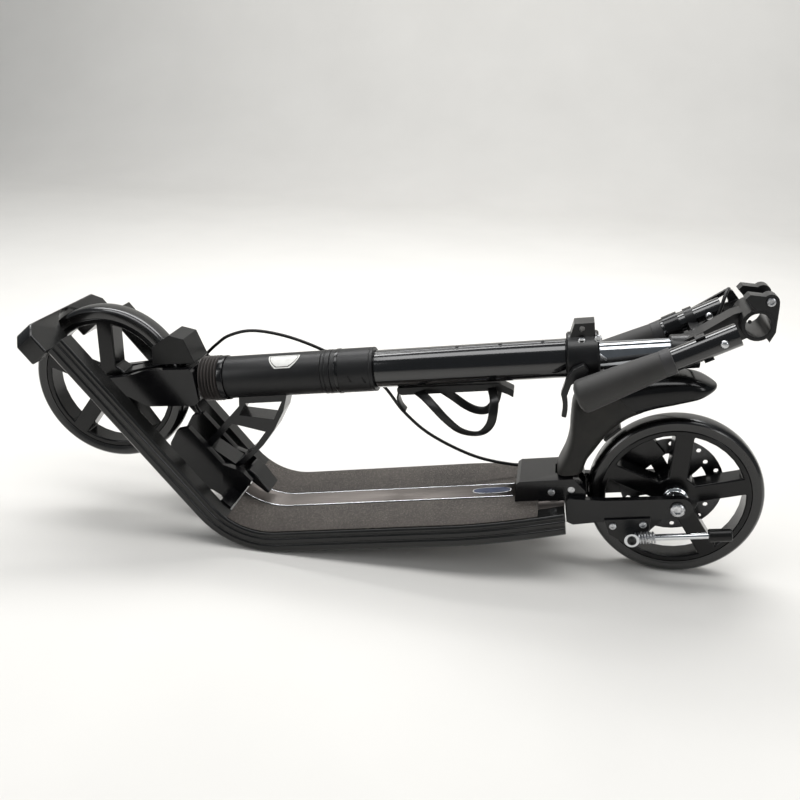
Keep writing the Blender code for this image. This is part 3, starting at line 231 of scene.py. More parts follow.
def soft_rubber(name, dark, light, rough):
    """Thermoplastic rubber: no gloss, a dusty bloom on the skin and a grain of about 0.8 mm."""
    made, tree, shader, where = begin(name, IOR=1.5, Sheen_Weight=0.15, Sheen_Roughness=0.5)
    bloom = noise(tree, where, 38.0, 5.0, 0.6)
    tree.links.new(ramp(tree, bloom, [(0.32, dark), (0.70, light)]), shader.inputs["Base Color"])
    tree.links.new(span(tree, bloom, rough - 0.06, rough + 0.08), shader.inputs["Roughness"])
    bump(tree, shader, noise(tree, where, 1250.0, 3.0), 0.18, 0.0003)
    return made


def polyurethane_tyre():
    """Cast black polyurethane: smooth and shiny, soft-edged highlights and a thin film of dust."""
    made, tree, shader, where = begin("polyurethane_tyre", IOR=1.5, Coat_Weight=0.35, Coat_Roughness=0.12)
    dust = noise(tree, where, 40.0, 6.0, 0.6)
    tree.links.new(ramp(tree, dust, [(0.42, "#070708"), (0.78, "#121110")]), shader.inputs["Base Color"])
    tree.links.new(span(tree, dust, 0.14, 0.34), shader.inputs["Roughness"])
    bump(tree, shader, noise(tree, where, 420.0, 3.0), 0.06, 0.0004)
    return made


def sandpaper():
    """Deck grip: silicon carbide grit on dark film; single grains of about 0.4 mm are less rough and painted
    lighter, a painted glint where grit catches the light.
    """
    made, tree, shader, where = begin("silicon_carbide_grip_tape", IOR=1.5)
    # grains drawn 0.9 mm apart so that they show
    grit = add(tree, "ShaderNodeTexVoronoi", {"Scale": 1500.0}, {"Vector": where})
    pick = add(tree, "ShaderNodeSeparateColor", links={"Color": grit.outputs["Color"]}).outputs["Red"]
    worn = noise(tree, where, 14.0, 5.0)
    ground = ramp(tree, worn, [(0.35, "#4a4541"), (0.75, "#5a544f")])
    # painted glint: a lighter colour added on a few grains, standing in for grit catching the light
    painted_glint = ramp(tree, pick, [(0.86, "#000000"), (0.93, "#6a645d")])
    colour = add(tree, "ShaderNodeMix", {"data_type": "RGBA", "blend_type": "ADD", "Factor": 1.0})
    tree.links.new(ground, colour.inputs[6])
    tree.links.new(painted_glint, colour.inputs[7])
    tree.links.new(colour.outputs[2], shader.inputs["Base Color"])
    tree.links.new(span(tree, pick, 0.95, 0.55), shader.inputs["Roughness"])
    bump(tree, shader, grit.outputs["Distance"], 0.9, 0.0012)
    return made


def brushed_aluminium():
    """Bare centre strip of the board: extruded aluminium brushed along its length, lines drawn 0.6 mm apart."""
    made, tree, shader, where = begin("brushed_aluminium_board", Metallic=1.0, Anisotropic=0.5)
    along = turned_coords(tree, where, DECK, (0.040, 0.0006, 0.0006))
    lines = noise(tree, along, 1.0, 3.0)
    tree.links.new(ramp(tree, lines, [(0.25, "#67625f"), (0.80, "#8d8783")]), shader.inputs["Base Color"])
    tree.links.new(span(tree, lines, 0.30, 0.48), shader.inputs["Roughness"])
    bump(tree, shader, lines, 0.12, 0.0002)
    return made


def chrome_plate():
    """Bright chromium over polished tube: mirror with faint wipe marks."""
    made, tree, shader, where = begin("chrome_plate", Metallic=1.0)
    tree.links.new(ramp(tree, noise(tree, where, 35.0), [(0.3, "#d4d6d9"), (0.8, "#eceef0")]),
                   shader.inputs["Base Color"])
    tree.links.new(span(tree, noise(tree, where, 110.0, 5.0), 0.05, 0.16), shader.inputs["Roughness"])
    return made


def black_chrome():
    """Inner stem tube: polished and dark-plated, so it mirrors what is round it with a darker tone."""
    made, tree, shader, where = begin("polished_dark_chrome", Metallic=1.0)
    tree.links.new(ramp(tree, noise(tree, where, 30.0), [(0.3, "#9a9da1"), (0.8, "#b4b7bb")]),
                   shader.inputs["Base Color"])
    tree.links.new(span(tree, noise(tree, where, 90.0, 5.0), 0.06, 0.16), shader.inputs["Roughness"])
    return made


def zinc_plate():
    """Bolts, pins and plates: bright zinc on steel, slightly uneven, with fine tool marks."""
    made, tree, shader, where = begin("bright_zinc_steel", Metallic=1.0)
    tree.links.new(ramp(tree, noise(tree, where, 160.0, 4.0), [(0.3, "#a9aaac"), (0.75, "#dcdddf")]),
                   shader.inputs["Base Color"])
    tree.links.new(span(tree, noise(tree, where, 420.0, 4.0), 0.20, 0.38), shader.inputs["Roughness"])
    bump(tree, shader, noise(tree, where, 1500.0), 0.08, 0.0002)
    return made


def ground_steel():
    """Brake disc: stainless steel with circular grinding lines, drawn 0.8 mm apart so that they show."""
    made, tree, shader, where = begin("ground_stainless_disc", Metallic=1.0)
    local = turned_coords(tree, where, REAR_HUB, (1.0, 1.0, 1.0))
    rings = add(tree, "ShaderNodeTexWave", {"wave_type": "RINGS", "rings_direction": "Y", "Scale": 1250.0,
                                            "Distortion": 1.5, "Detail": 2.0}, {"Vector": local}).outputs["Fac"]
    tree.links.new(ramp(tree, rings, [(0.2, "#39393a"), (0.9, "#59595a")]), shader.inputs["Base Color"])
    tree.links.new(span(tree, rings, 0.24, 0.36), shader.inputs["Roughness"])
    bump(tree, shader, rings, 0.05, 0.0001)
    return made


def printed_label(name, colour, edge):
    """Vinyl label: one flat colour under a clear film, slightly yellowed in places."""
    made, tree, shader, where = begin(name, IOR=1.45, Roughness=0.35, Coat_Weight=0.3, Coat_Roughness=0.15)
    tree.links.new(ramp(tree, noise(tree, where, 120.0, 4.0), [(0.3, colour), (0.85, edge)]),
                   shader.inputs["Base Color"])
    bump(tree, shader, noise(tree, where, 500.0), 0.03, 0.0002)
    return made


COAT = powder_coat("black_powder_coat", ("#08080a", "#111112"), 0.20, 0.06)
COAT_SATIN = powder_coat("black_powder_coat_satin", ("#0b0b0c", "#161617"), 0.32, 0.10)
RAIL = anodised_aluminium()
ENAMEL = glossy_paint()
SATIN = satin_enamel()
WHEEL = moulded_plastic("black_nylon_wheel", "#060607", "#0e0e0e", 0.16, 1.6, 0.08)
TRIM = moulded_plastic("black_nylon_trim", "#0a0a0a", "#151515", 0.28, 1.0, 0.12)
GREY_ABS = moulded_plastic("dark_grey_abs", "#1c1b19", "#272522", 0.46, 0.9, 0.16)
GLOSS_ABS = moulded_plastic("gloss_black_abs", "#070708", "#0f0f10", 0.14, 2.0, 0.04)
GRIP_RUBBER = soft_rubber("charcoal_grip_rubber", "#1f1e1c", "#2a2826", 0.58)
COLLAR_RUBBER = soft_rubber("grey_collar_rubber", "#222122", "#2d2c2c", 0.5)
BELLOWS_RUBBER = soft_rubber("black_bellows_rubber", "#2a2624", "#403a37", 0.30)
TYRE = polyurethane_tyre()
GRIT = sandpaper()
BOARD = brushed_aluminium()
CHROME = chrome_plate()
ZINC = zinc_plate()
DARK_CHROME = black_chrome()
DISC = ground_steel()
CASING = moulded_plastic("cable_outer_casing", "#0e0e0f", "#1a1a1a", 0.34, 1.5, 0.06)
# near black: a seam and printed lines, and painted shade standing in for small holes and slots
DARK_LINE_AND_HOLE_SHADE = moulded_plastic("dark_line_and_painted_hole_shade", "#050505", "#0a0a0a", 0.6, 1.0, 0.1)
BLUE = printed_label("blue_enamel_badge", "#10203f", "#1c3157")
WHITE = printed_label("white_vinyl_label", "#dcdcd8", "#c9c8c2")
BLACK_STEEL = powder_coat("black_oxide_steel", ("#151515", "#242424"), 0.34, 0.12)


# ---------------------------------------------------------------- making pieces
def piece(name, mesh, body, finish, sharp=35.0, bevel=0.0, segments=2, node=()):
    """Puts a mesh on a body: faces turned outwards, smooth but for real edges, with small rounded edges."""
    bm = bmesh.new()
    bm.from_mesh(mesh)
    bmesh.ops.remove_doubles(bm, verts=bm.verts, dist=1e-6)
    bmesh.ops.recalc_face_normals(bm, faces=bm.faces)
    bm.to_mesh(mesh)
    bm.free()
    mesh.shade_smooth()
    mesh.set_sharp_from_angle(angle=math.radians(sharp))
    mesh.materials.append(finish)
    made = bpy.data.objects.new(name, mesh)
    bpy.context.scene.collection.objects.link(made)
    if bevel:
        edge = made.modifiers.new("edges", "BEVEL")
        edge.width, edge.segments, edge.limit_method = bevel, segments, "ANGLE"
        edge.angle_limit = math.radians(28.0)
        edge.harden_normals = True
        edge.use_clamp_overlap = True
    if isinstance(body, str):
        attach(made, body)
    else:
        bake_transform(made)
    if node:
        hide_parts(*node)
    return made


def grid_mesh(name, points, close_rows=False, close_columns=True, caps=True):
    """Mesh over a grid of points: quads between neighbours, and a flat face over each open end."""
    rows, columns = points.shape[:2]
    index = np.arange(rows * columns).reshape(rows, columns)
    below = np.roll(index, -1, 0) if close_rows else index[1:]
    above = index if close_rows else index[:-1]

    def right(block):
        return np.roll(block, -1, 1) if close_columns else block[:, 1:]

    def left(block):
        return block if close_columns else block[:, :-1]

    quads = np.stack([left(above), left(below), right(below), right(above)], -1).reshape(-1, 4).tolist()
    if caps and close_columns and not close_rows:
        quads += [index[0].tolist(), index[-1][::-1].tolist()]
    mesh = bpy.data.meshes.new(name)
    mesh.from_pydata(points.reshape(-1, 3).tolist(), [], quads)
    return mesh


def rounded(points, radius, closed=False, steps=4):
    """Outline with each corner replaced by a parabola that starts and ends `radius` from it."""
    p = np.asarray(points, float)
    before, after = np.roll(p, 1, 0), np.roll(p, -1, 0)
    radius = np.broadcast_to(radius, len(p))

    def toward(other):
        gap = other - p
        size = np.linalg.norm(gap, axis=1, keepdims=True)
        return p + gap / np.maximum(size, 1e-12) * np.minimum(radius[:, None], 0.45 * size)

    a, b = toward(before)[:, None], toward(after)[:, None]
    t = np.linspace(0.0, 1.0, steps + 1)[None, :, None]
    curved = (1 - t) ** 2 * a + 2 * t * (1 - t) * p[:, None] + t ** 2 * b
    if closed:
        return curved.reshape(-1, 2)
    return np.concatenate([p[:1], curved[1:-1].reshape(-1, 2), p[-1:]])


def lathe(name, profile, place, axis, body, finish, count=96, soften=0.0, node=(), closed=False, sharp=35.0):
    """Turned piece: each (along, radius) of the profile becomes a ring round the axis."""
    profile = rounded(profile, soften, closed) if soften else np.asarray(profile, float)
    angle = np.linspace(0.0, 2 * math.pi, count, endpoint=False)
    along = np.repeat(profile[:, :1], count, 1)
    p, q = profile[:, 1:] * np.cos(angle), profile[:, 1:] * np.sin(angle)
    points = np.stack([along, p, q] if axis == "X" else [p, along, q], -1)
    mesh = grid_mesh(name, place.world(points), close_rows=closed, caps=not closed)
    return piece(name, mesh, body, finish, sharp, node=node)


def slab(name, outline, low, high, place, body, finish, soften=0.0, bevel=0.0006, segments=3, axis="Y",
         node=()):
    """Flat piece: an outline with softened corners, carried from low to high along one axis."""
    line = rounded(outline, soften, True) if soften else np.asarray(outline, float)
    a, b = line.T
    level = np.array([low, high])[:, None] + 0.0 * a
    a, b = a + 0.0 * level, b + 0.0 * level
    points = {"Y": [a, level, b], "X": [level, a, b], "Z": [a, b, level]}[axis]
    mesh = grid_mesh(name, place.world(np.stack(points, -1)))
    return piece(name, mesh, body, finish, bevel=bevel, segments=segments, node=node)


def smooth_line(points, count):
    """Evenly spaced points on a Catmull-Rom curve: each stretch is the cubic of its four neighbours."""
    p = np.asarray(points, float)
    p = np.concatenate([2 * p[:1] - p[1:2], p, 2 * p[-1:] - p[-2:-1]])
    t = np.linspace(0.0, 1.0, 24, endpoint=False)[None, :, None]
    p0, p1, p2, p3 = (p[k:len(p) - 3 + k][:, None] for k in range(4))
    curve = 0.5 * (2 * p1 + (p2 - p0) * t + (2 * p0 - 5 * p1 + 4 * p2 - p3) * t ** 2
                   + (3 * p1 - p0 - 3 * p2 + p3) * t ** 3)
    curve = np.concatenate([curve.reshape(-1, 3), p[-2:-1]])
    run = np.concatenate([[0.0], np.cumsum(np.linalg.norm(np.diff(curve, axis=0), axis=1))])
    at = np.linspace(0.0, run[-1], count)
    return np.stack([np.interp(at, run, curve[:, k]) for k in range(3)], -1)


def sweep(name, path, section, place, body, finish, side=(0.0, 1.0, 0.0), bevel=0.0, node=(), closed=False):
    """Bar or rod: a section (across, over) set square to the path at each of its points."""
    ahead = np.gradient(path, axis=0) if not closed else np.roll(path, -1, 0) - np.roll(path, 1, 0)
    ahead /= np.linalg.norm(ahead, axis=1, keepdims=True)
    over = np.cross(ahead, np.asarray(side, float))
    over /= np.linalg.norm(over, axis=1, keepdims=True)
    across = np.cross(over, ahead)
    section = np.asarray(section, float)
    points = (path[:, None] + across[:, None] * section[None, :, :1] + over[:, None] * section[None, :, 1:])
    mesh = grid_mesh(name, place.world(points), close_rows=closed, caps=not closed)
    return piece(name, mesh, body, finish, bevel=bevel, node=node)


def ring_section(radius, count=16):
    """Round section: radius times the cosine and sine of evenly spaced angles."""
    angle = np.linspace(0.0, 2 * math.pi, count, endpoint=False)
    return radius * np.stack([np.cos(angle), np.sin(angle)], -1)


def bolt(name, place, at, side, radius, height, body, finish=ZINC, socket=True, node=(), along="Y"):
    """Round bolt head with a chamfer and a hexagon socket: the socket's radius is its half width over the
    cosine of the angle from the middle of each flat."""
    angle = np.linspace(0.0, 2 * math.pi, 48, endpoint=False)
    hexagon = radius * 0.50 / np.cos((angle % (math.pi / 3)) - math.pi / 6)
    even = np.ones_like(angle)
    c = 0.16 * radius
    rows = [(0.0, radius * even), (height - 2 * c, radius * even), (height - c * 0.7, (radius - c * 0.4) * even),
            (height, (radius - 1.5 * c) * even)]
    if socket:
        rows += [(height, hexagon), (height - 0.55 * height, hexagon), (height - 0.56 * height, hexagon * 0.2)]
    level = np.array([row[0] for row in rows])[:, None] * side + 0.0 * angle
    reach = np.stack([row[1] for row in rows])
    if along == "Y":
        points = np.stack([at[0] + reach * np.cos(angle), at[1] + level, at[2] + reach * np.sin(angle)], -1)
    else:
        points = np.stack([at[0] + reach * np.cos(angle), at[1] + reach * np.sin(angle), at[2] + level], -1)
    return piece(name, grid_mesh(name, place.world(points)), body, finish, 25.0, node=node)


def refined(node, finish, bevel=0.0006, segments=2, sharp=32.0):
    """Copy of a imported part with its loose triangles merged, flat faces joined and edges rounded."""
    bm = bmesh.new()
    bm.from_mesh(frame["nodes"][node].data)
    bmesh.ops.remove_doubles(bm, verts=bm.verts, dist=2e-6)
    bmesh.ops.dissolve_limit(bm, angle_limit=math.radians(0.4), verts=bm.verts, edges=bm.edges)
    mesh = bpy.data.meshes.new(f"{node}_shown")
    bm.to_mesh(mesh)
    bm.free()
    return piece(f"{node}_shown", mesh, node_body[node], finish, sharp, bevel, segments, (node,))


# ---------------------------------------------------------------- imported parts, edges rounded and finished
for node, finish, edge in (
        ("rail_left", RAIL, 0.0007), ("rail_right", RAIL, 0.0007), ("nose_bridge", RAIL, 0.0010),
        ("hinge_bracket", COAT, 0.0009), ("neck_bracket", COAT, 0.0009), ("rear_bracket", COAT, 0.0009),
        ("fold_pedal", COAT, 0.0009), ("kickstand_bracket", COAT_SATIN, 0.0007),
        ("kickstand_foot", TRIM, 0.0010),
        ("calliper", COAT, 0.0008), ("rotor_carrier", COAT, 0.0006), ("brake_shoe", TRIM, 0.0006),
        ("fork", COAT, 0.0010), ("fork_slider", CHROME, 0.0), ("front_mudguard", TRIM, 0.0008),
        ("height_clamp", COAT_SATIN, 0.0009), ("clamp_lever", COAT_SATIN, 0.0008),
        ("t_head", COAT_SATIN, 0.0009), ("lever_bracket", COAT, 0.0008), ("brake_lever", COAT, 0.0009),
        ("front_wheel", WHEEL, 0.0010), ("rear_wheel", WHEEL, 0.0010),
        ("steerer_tube", CHROME, 0.0), ("foot_brake_axle", ZINC, 0.0), ("brake_rotor", DISC, 0.0002),
        ("deck_board", BOARD, 0.0), ("grip_tape_left", GRIT, 0.0), ("grip_tape_right", GRIT, 0.0),
        ("front_bearing_left", ZINC, 0.0), ("front_bearing_right", ZINC, 0.0),
        ("rear_bearing_left", ZINC, 0.0), ("rear_bearing_right", ZINC, 0.0),
        ("left_grip_tube", ENAMEL, 0.0), ("right_grip_tube", ENAMEL, 0.0)):
    refined(node, finish, edge)


# ---------------------------------------------------------------- turned parts
def span_of(node, place):
    """Lowest and highest along a place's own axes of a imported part."""
    points = np.array([v.co for v in frame["nodes"][node].data.vertices]) - place.origin
    local = points @ place.axes.T
    return local.min(0), local.max(0)


TYRE_R, TYRE_HALF, SEAT_R = 0.100, 0.015, 0.0858
MAIN_R, INNER_R, SLEEVE_R, CORE_R = 0.0225, 0.016, 0.0265, 0.0150
crown = np.linspace(-1.0, 1.0, 33)
# tread: a flattened curve, radius falling with the second and sixth power of the distance from the middle
tread = np.stack([crown * TYRE_HALF, TYRE_R - 0.0016 * crown ** 2 - 0.0034 * crown ** 6], -1)
wall = [(TYRE_HALF - 0.0004, TYRE_R - 0.0090), (0.0134, SEAT_R + 0.0016), (0.0130, SEAT_R), (-0.0130, SEAT_R),
        (-0.0134, SEAT_R + 0.0016), (-TYRE_HALF + 0.0004, TYRE_R - 0.0090)]
tyre_profile = np.concatenate([tread, np.array(wall)])
for end, hub in (("front", FRONT_HUB), ("rear", REAR_HUB)):
    lathe(f"{end}_tyre_shown", tyre_profile, hub, "Y", f"{end}_wheel", TYRE, 192, node=(f"{end}_tyre",),
          closed=True)


def groove(profile_radius, middle, depth, half):
    """Three points of a shallow groove round a turned part."""
    return [(middle - half, profile_radius), (middle - half * 0.6, profile_radius - depth),
            (middle + half * 0.6, profile_radius - depth), (middle + half, profile_radius)]


# stem tube: two lengthwise grooves each side, so its radius dips where the angle nears theirs
low, high = span_of("main_tube", STEM)
angle = np.linspace(0.0, 2 * math.pi, 144, endpoint=False)
lines = np.radians([18.0, 162.0, 198.0, 342.0])
gap = np.abs((angle[:, None] - lines + math.pi) % (2 * math.pi) - math.pi).min(1)
dip = 0.0009 * np.exp(-(gap / 0.045) ** 2)
u = np.array([low[0], low[0] + 0.0001, low[0] + 0.001, high[0] - 0.001, high[0] - 0.0001, high[0]])
scale = np.array([0.96, 0.985, 1.0, 1.0, 0.985, 0.96])
r = (MAIN_R - dip)[None, :] * scale[:, None]
tube = np.stack([u[:, None] + 0.0 * r, r * np.sin(angle), r * np.cos(angle)], -1)
mesh = grid_mesh("main_tube_shown", STEM.world(tube))
piece("main_tube_shown", mesh, "stem", ENAMEL, 60.0, node=("main_tube",))

low, high = span_of("inner_tube", STEM)
lathe("inner_tube_shown", [(low[0], 0.0), (low[0], INNER_R), (high[0], INNER_R), (high[0], 0.0)], STEM, "X",
      "handlebar", DARK_CHROME, 96, 0.0006, ("inner_tube",))

low, high = span_of("stem_sleeve", STEM)
lathe("stem_sleeve_shown", [(low[0], 0.0), (low[0], 0.0263), (low[0] + 0.0010, SLEEVE_R)]
      + groove(SLEEVE_R, high[0] - 0.004, 0.0005, 0.0006) + [(high[0], SLEEVE_R), (high[0], 0.0)],
      STEM, "X", "stem", SATIN, 96, 0.0008, ("stem_sleeve",))
lathe("collar_ring", [(0.2142, CORE_R), (0.2142, 0.0272), (0.2184, 0.0272), (0.2184, CORE_R)], STEM, "X",
      "stem", COAT, 96, 0.0007, closed=True)

for node, reach, finish in (("head_tube", 0.026, SATIN), ("headset_lower", 0.0275, COAT),
                            ("headset_upper", 0.0266, SATIN)):
    low, high = span_of(node, STEM)
    rows = [(low[0], CORE_R), (low[0], reach), (high[0], reach), (high[0], CORE_R)]
    if node == "headset_upper":
        rows[2:2] = groove(reach, low[0] + 0.0042, 0.0008, 0.0007)
    lathe(f"{node}_shown", rows, STEM, "X", "neck", finish, 96, 0.0010, (node,), closed=True)

low, high = span_of("bellows", STEM)
t = np.linspace(0.0, 1.0, 145)
# six ribs: radius swings by a rounded cosine between 21.2 and 28.2 mm
ribs = 0.0212 + 0.0070 * (0.5 - 0.5 * np.cos(2 * math.pi * 6 * t)) ** 0.9
bellows_line = [(low[0], 0.0152)] + list(zip(low[0] + (high[0] - low[0]) * t, ribs)) + [(high[0], 0.0152)]
lathe("bellows_shown", bellows_line, STEM, "X",
      ("fork", "stem", STEM.world((low[0] + 0.001, 0.0, 0.0)), STEM.world((high[0] - 0.001, 0.0, 0.0))),
      BELLOWS_RUBBER, 96, node=("bellows",), closed=True)

# ---------------------------------------------------------------- axles and bolts
HEAD_R, HEAD_H, UNDER_HEAD = 0.0085, 0.0046, 0.004
for node, place, body, shank_r, finish in (("front_axle", FRONT_HUB, "fork", 0.0040, ZINC),
                                           ("rear_axle", REAR_HUB, "deck", 0.0040, ZINC),
                                           ("fold_axle", FOLD, "deck", 0.0059, BLACK_STEEL)):
    low, high = span_of(node, place)
    near, far = low[1] + UNDER_HEAD, high[1] - UNDER_HEAD
    lathe(f"{node}_shown", [(near, 0.0), (near, shank_r), (far, shank_r), (far, 0.0)], place, "Y", body,
          finish, 48, node=(node,))
    for side, sign, y in (("near", -1.0, low[1]), ("far", 1.0, high[1])):
        bolt(f"{node}_{side}_head", place, (0.0, y - sign * HEAD_H, 0.0), sign, HEAD_R, HEAD_H, body, finish)
lathe("rear_spacer_near", [(-0.0140, 0.0050), (-0.0140, 0.0150), (-0.0165, 0.0150), (-0.0185, 0.0115),
                           (-0.0316, 0.0095), (-0.0316, 0.0050)], REAR_HUB, "Y", "rear_wheel", CHROME, 64, 0.0010,
      closed=True)

# ---------------------------------------------------------------- grips: turned rubber with raised nubs
for side, sign in SIDES:
    node, body, place = f"{side}_grip", f"{side}_grip", GRIPS[side]
    low, high = span_of(node, place)
    out, inn = low[0], high[0]
    reach = inn - out
    s = np.linspace(0.0, 1.0, 120)
    # full at the outer end, falling on a soft curve to the collar, with the palm side rounded off
    line = 0.0132 + 0.0064 * (1.0 - s) ** 0.8
    line = line * (1.0 - 0.30 * np.exp(-s / 0.018))
    rows = [(out, 0.0)] + [(out, line[0] - 0.0012)] + list(zip(out + 0.0008 + (reach - 0.0016) * s, line)) + [
        (inn, line[-1] - 0.001), (inn, 0.0)]
    lathe(f"{side}_grip_shown", rows, place, "X", body, GRIP_RUBBER, 96, node=(node,))


def nub_grid(name, place, centres, size, body, finish):
    """Rows of low domes: each is a half ellipsoid, height times the cosine of its own polar angle."""
    rings, spokes = 7, 20
    polar = np.linspace(0.0, math.pi / 2, rings)[:, None]
    turn = np.linspace(0.0, 2 * math.pi, spokes, endpoint=False)[None, :]
    unit = np.stack([np.sin(polar) * np.cos(turn), np.sin(polar) * np.sin(turn), np.cos(polar) + 0.0 * turn],
                    -1)
    faces, points = [], []
    for number, (along, around, radius) in enumerate(centres):
        out = np.array([0.0, math.cos(around), math.sin(around)])
        beside = np.array([0.0, -math.sin(around), math.cos(around)])
        middle = np.array([along, 0.0, 0.0]) + out * radius
        grid = middle + unit[..., :1] * np.array([size, 0.0, 0.0]) + unit[..., 1:2] * beside * size * 0.8
        grid = grid + unit[..., 2:] * out * size * 0.55
        points.append(grid[::-1].reshape(-1, 3))
        index = (np.arange(rings * spokes) + number * rings * spokes).reshape(rings, spokes)
        right = np.roll(index, -1, 1)
        faces += np.stack([index[:-1], index[1:], right[1:], right[:-1]], -1).reshape(-1, 4).tolist()
        faces.append(index[0].tolist())
    mesh = bpy.data.meshes.new(name)
    mesh.from_pydata(place.world(np.concatenate(points)).tolist(), [], faces)
    return piece(name, mesh, body, finish)


for side, sign in SIDES:
    place = GRIPS[side]
    low, high = span_of(f"{side}_grip", place)
    rows = [(low[0] + 0.016 + 0.0118 * k, math.radians(90.0 - sign * (64.0 + 26.0 * row)),
             0.0182 - 0.00062 * k) for k in range(5) for row in range(2)]
    nub_grid(f"{side}_grip_nubs", place, rows, 0.0014, f"{side}_grip", COLLAR_RUBBER)
    inner = high[0]
    lathe(f"{side}_grip_collar", [(inner - 0.0125, 0.0122), (inner - 0.0125, 0.0140), (inner - 0.0115, 0.0146),
                                  (inner - 0.0014, 0.0146), (inner - 0.0004, 0.0138), (inner - 0.0004, 0.0122)],
          place, "X", f"{side}_grip", COLLAR_RUBBER, 96, 0.0005, closed=True)
    low, high = span_of(f"{side}_snap_button", place)
    middle = (low + high) / 2.0
    width = (high[0] - low[0]) / 2.0
    lathe(f"{side}_snap_button_shown", [(low[1], 0.0), (low[1], width * 0.55), (low[1] + 0.0008, width * 0.85),
                                        (low[1] + 0.0020, width), (high[1], width), (high[1], 0.0)],
          place.child((middle[0], 0.0, middle[2])), "Y", f"{side}_snap_button", ZINC, 40,
          node=(f"{side}_snap_button",))

# ---------------------------------------------------------------- foot brake: matt foot and glossy tail
GUARD_ROWS = 160
outer_line = smooth_line([(-0.1325, 0.0, 0.0420), (-0.1300, 0.0, 0.0500), (-0.1205, 0.0, 0.0680),
                          (-0.1145, 0.0, 0.0870), (-0.1115, 0.0, 0.1080),
                          (-0.1070, 0.0, 0.1290), (-0.0960, 0.0, 0.1400),
                          (-0.0700, 0.0, 0.1475), (-0.0300, 0.0, 0.1520), (0.0050, 0.0, 0.1515),
                          (0.0320, 0.0, 0.1465), (0.0500, 0.0, 0.1370)], GUARD_ROWS)
inner_line = smooth_line([(-0.1015, 0.0, 0.0440), (-0.0960, 0.0, 0.0570), (-0.0870, 0.0, 0.0710),
                          (-0.0740, 0.0, 0.0850), (-0.0600, 0.0, 0.0965),
                          (-0.0440, 0.0, 0.1060), (-0.0200, 0.0, 0.1135),
                          (0.0050, 0.0, 0.1175), (0.0300, 0.0, 0.1225), (0.0500, 0.0, 0.1300)], GUARD_ROWS)


def guard_shell(name, first, last, wide, power, finish, node=()):
    """Loft between the inner and outer lines: each section is a superellipse, with the sine and cosine of the
    angle raised to a power below one."""
    s = np.linspace(0.0, 1.0, GUARD_ROWS)[first:last, None]
    inner, outer = inner_line[first:last, None], outer_line[first:last, None]
    turn = np.linspace(0.0, 2 * math.pi, 72, endpoint=False)[None, :]
    c, d = np.cos(turn), np.sin(turn)
    side, rise = np.sign(c) * np.abs(c) ** power, np.sign(d) * np.abs(d) ** (power + 0.15)
    # half width: full along the guard, closing on a circle over the last tenth
    half = wide * np.sqrt(np.clip(1.0 - np.clip((s - 0.86) / 0.142, 0.0, 1.0) ** 2, 0.003, 1.0))
    close = np.where(s > 0.86, 0.35 + 0.65 * half / wide, 1.0)[..., None]
    middle = (inner + outer) / 2.0
    points = middle + (outer - inner) / 2.0 * rise[..., None] * close
    points = points + np.stack([0.0 * half * side, half * side, 0.0 * half * side], -1)
    return piece(name, grid_mesh(name, DECK.world(points)), "foot_brake", finish, 50.0, node=node)


guard_shell("fender_foot", 0, 88, 0.0280, 0.55, GREY_ABS, ("fender",))
guard_shell("fender_tail", 84, GUARD_ROWS, 0.0290, 0.62, GLOSS_ABS)
slab("fender_lug", [(-0.1290, 0.0480), (-0.1255, 0.0260), (-0.1215, 0.0190), (-0.1125, 0.0190),
                    (-0.1085, 0.0260), (-0.1050, 0.0480)], -0.0119, 0.0119, DECK,
     "foot_brake", GREY_ABS, 0.004, 0.0008)

# ---------------------------------------------------------------- bottle cage: rail, tongue and two bent arms
top = -0.0228  # just under the stem tube
slab("bottle_cage_rail", [(0.284, top), (0.284, top - 0.006), (0.289, top - 0.0092), (0.402, top - 0.0092),
                          (0.4145, top - 0.0150), (0.4205, top - 0.0190), (0.4215, top - 0.0100),
                          (0.4060, top - 0.0010)], -0.009, 0.009, STEM, "stem", TRIM, 0.0015, 0.0012,
     node=("bottle_cage",))
flat = ring_section(1.0, 16)
flat = np.sign(flat) * np.abs(flat) ** 0.6
sweep("bottle_cage_foot", smooth_line([(0.2860, 0.0, top - 0.005), (0.2830, 0.0, top - 0.014),
                                       (0.2850, 0.0, top - 0.024), (0.2895, 0.0, top - 0.0315)], 40),
      flat * (0.0080, 0.0016), STEM, "stem", TRIM)
for side, sign in SIDES:
    route = [(0.306, sign * 0.004, top - 0.006), (0.318, sign * 0.018, top - 0.009),
             (0.330, sign * 0.029, top - 0.018), (0.343, sign * 0.036, top - 0.031),
             (0.357, sign * 0.038, top - 0.044), (0.371, sign * 0.036, top - 0.0505),
             (0.384, sign * 0.035, top - 0.0500), (0.394, sign * 0.036, top - 0.0400),
             (0.3985, sign * 0.036, top - 0.026), (0.400, sign * 0.028, top - 0.013),
             (0.396, sign * 0.006, top - 0.006)]
    line = smooth_line(route, 140)
    middle = np.array([0.0, 0.0, top - 0.020])
    out = (line - middle) * (0.0, 1.0, 1.0)
    out /= np.linalg.norm(out, axis=1, keepdims=True)
    ahead = np.gradient(line, axis=0)
    ahead /= np.linalg.norm(ahead, axis=1, keepdims=True)
    broad = np.cross(ahead, out)
    broad /= np.linalg.norm(broad, axis=1, keepdims=True)
    thin = np.cross(broad, ahead)
    points = line[:, None] + broad[:, None] * flat[None, :, :1] * 0.0052
    points = points + thin[:, None] * flat[None, :, 1:] * 0.0015
    mesh = grid_mesh(f"bottle_cage_arm_{side}", STEM.world(points))
    piece(f"bottle_cage_arm_{side}", mesh, "stem", TRIM, 50.0)

# ---------------------------------------------------------------- cables
CABLE_R = 0.0020


def cable(node, points, place, body):
    """Round casing swept along the smooth curve through the route's points."""
    line = smooth_line(points, 220)
    return sweep(f"{node}_shown", line, ring_section(CABLE_R, 18), place, body, CASING, (0.02, 0.05, 1.0),
                 node=(node,))


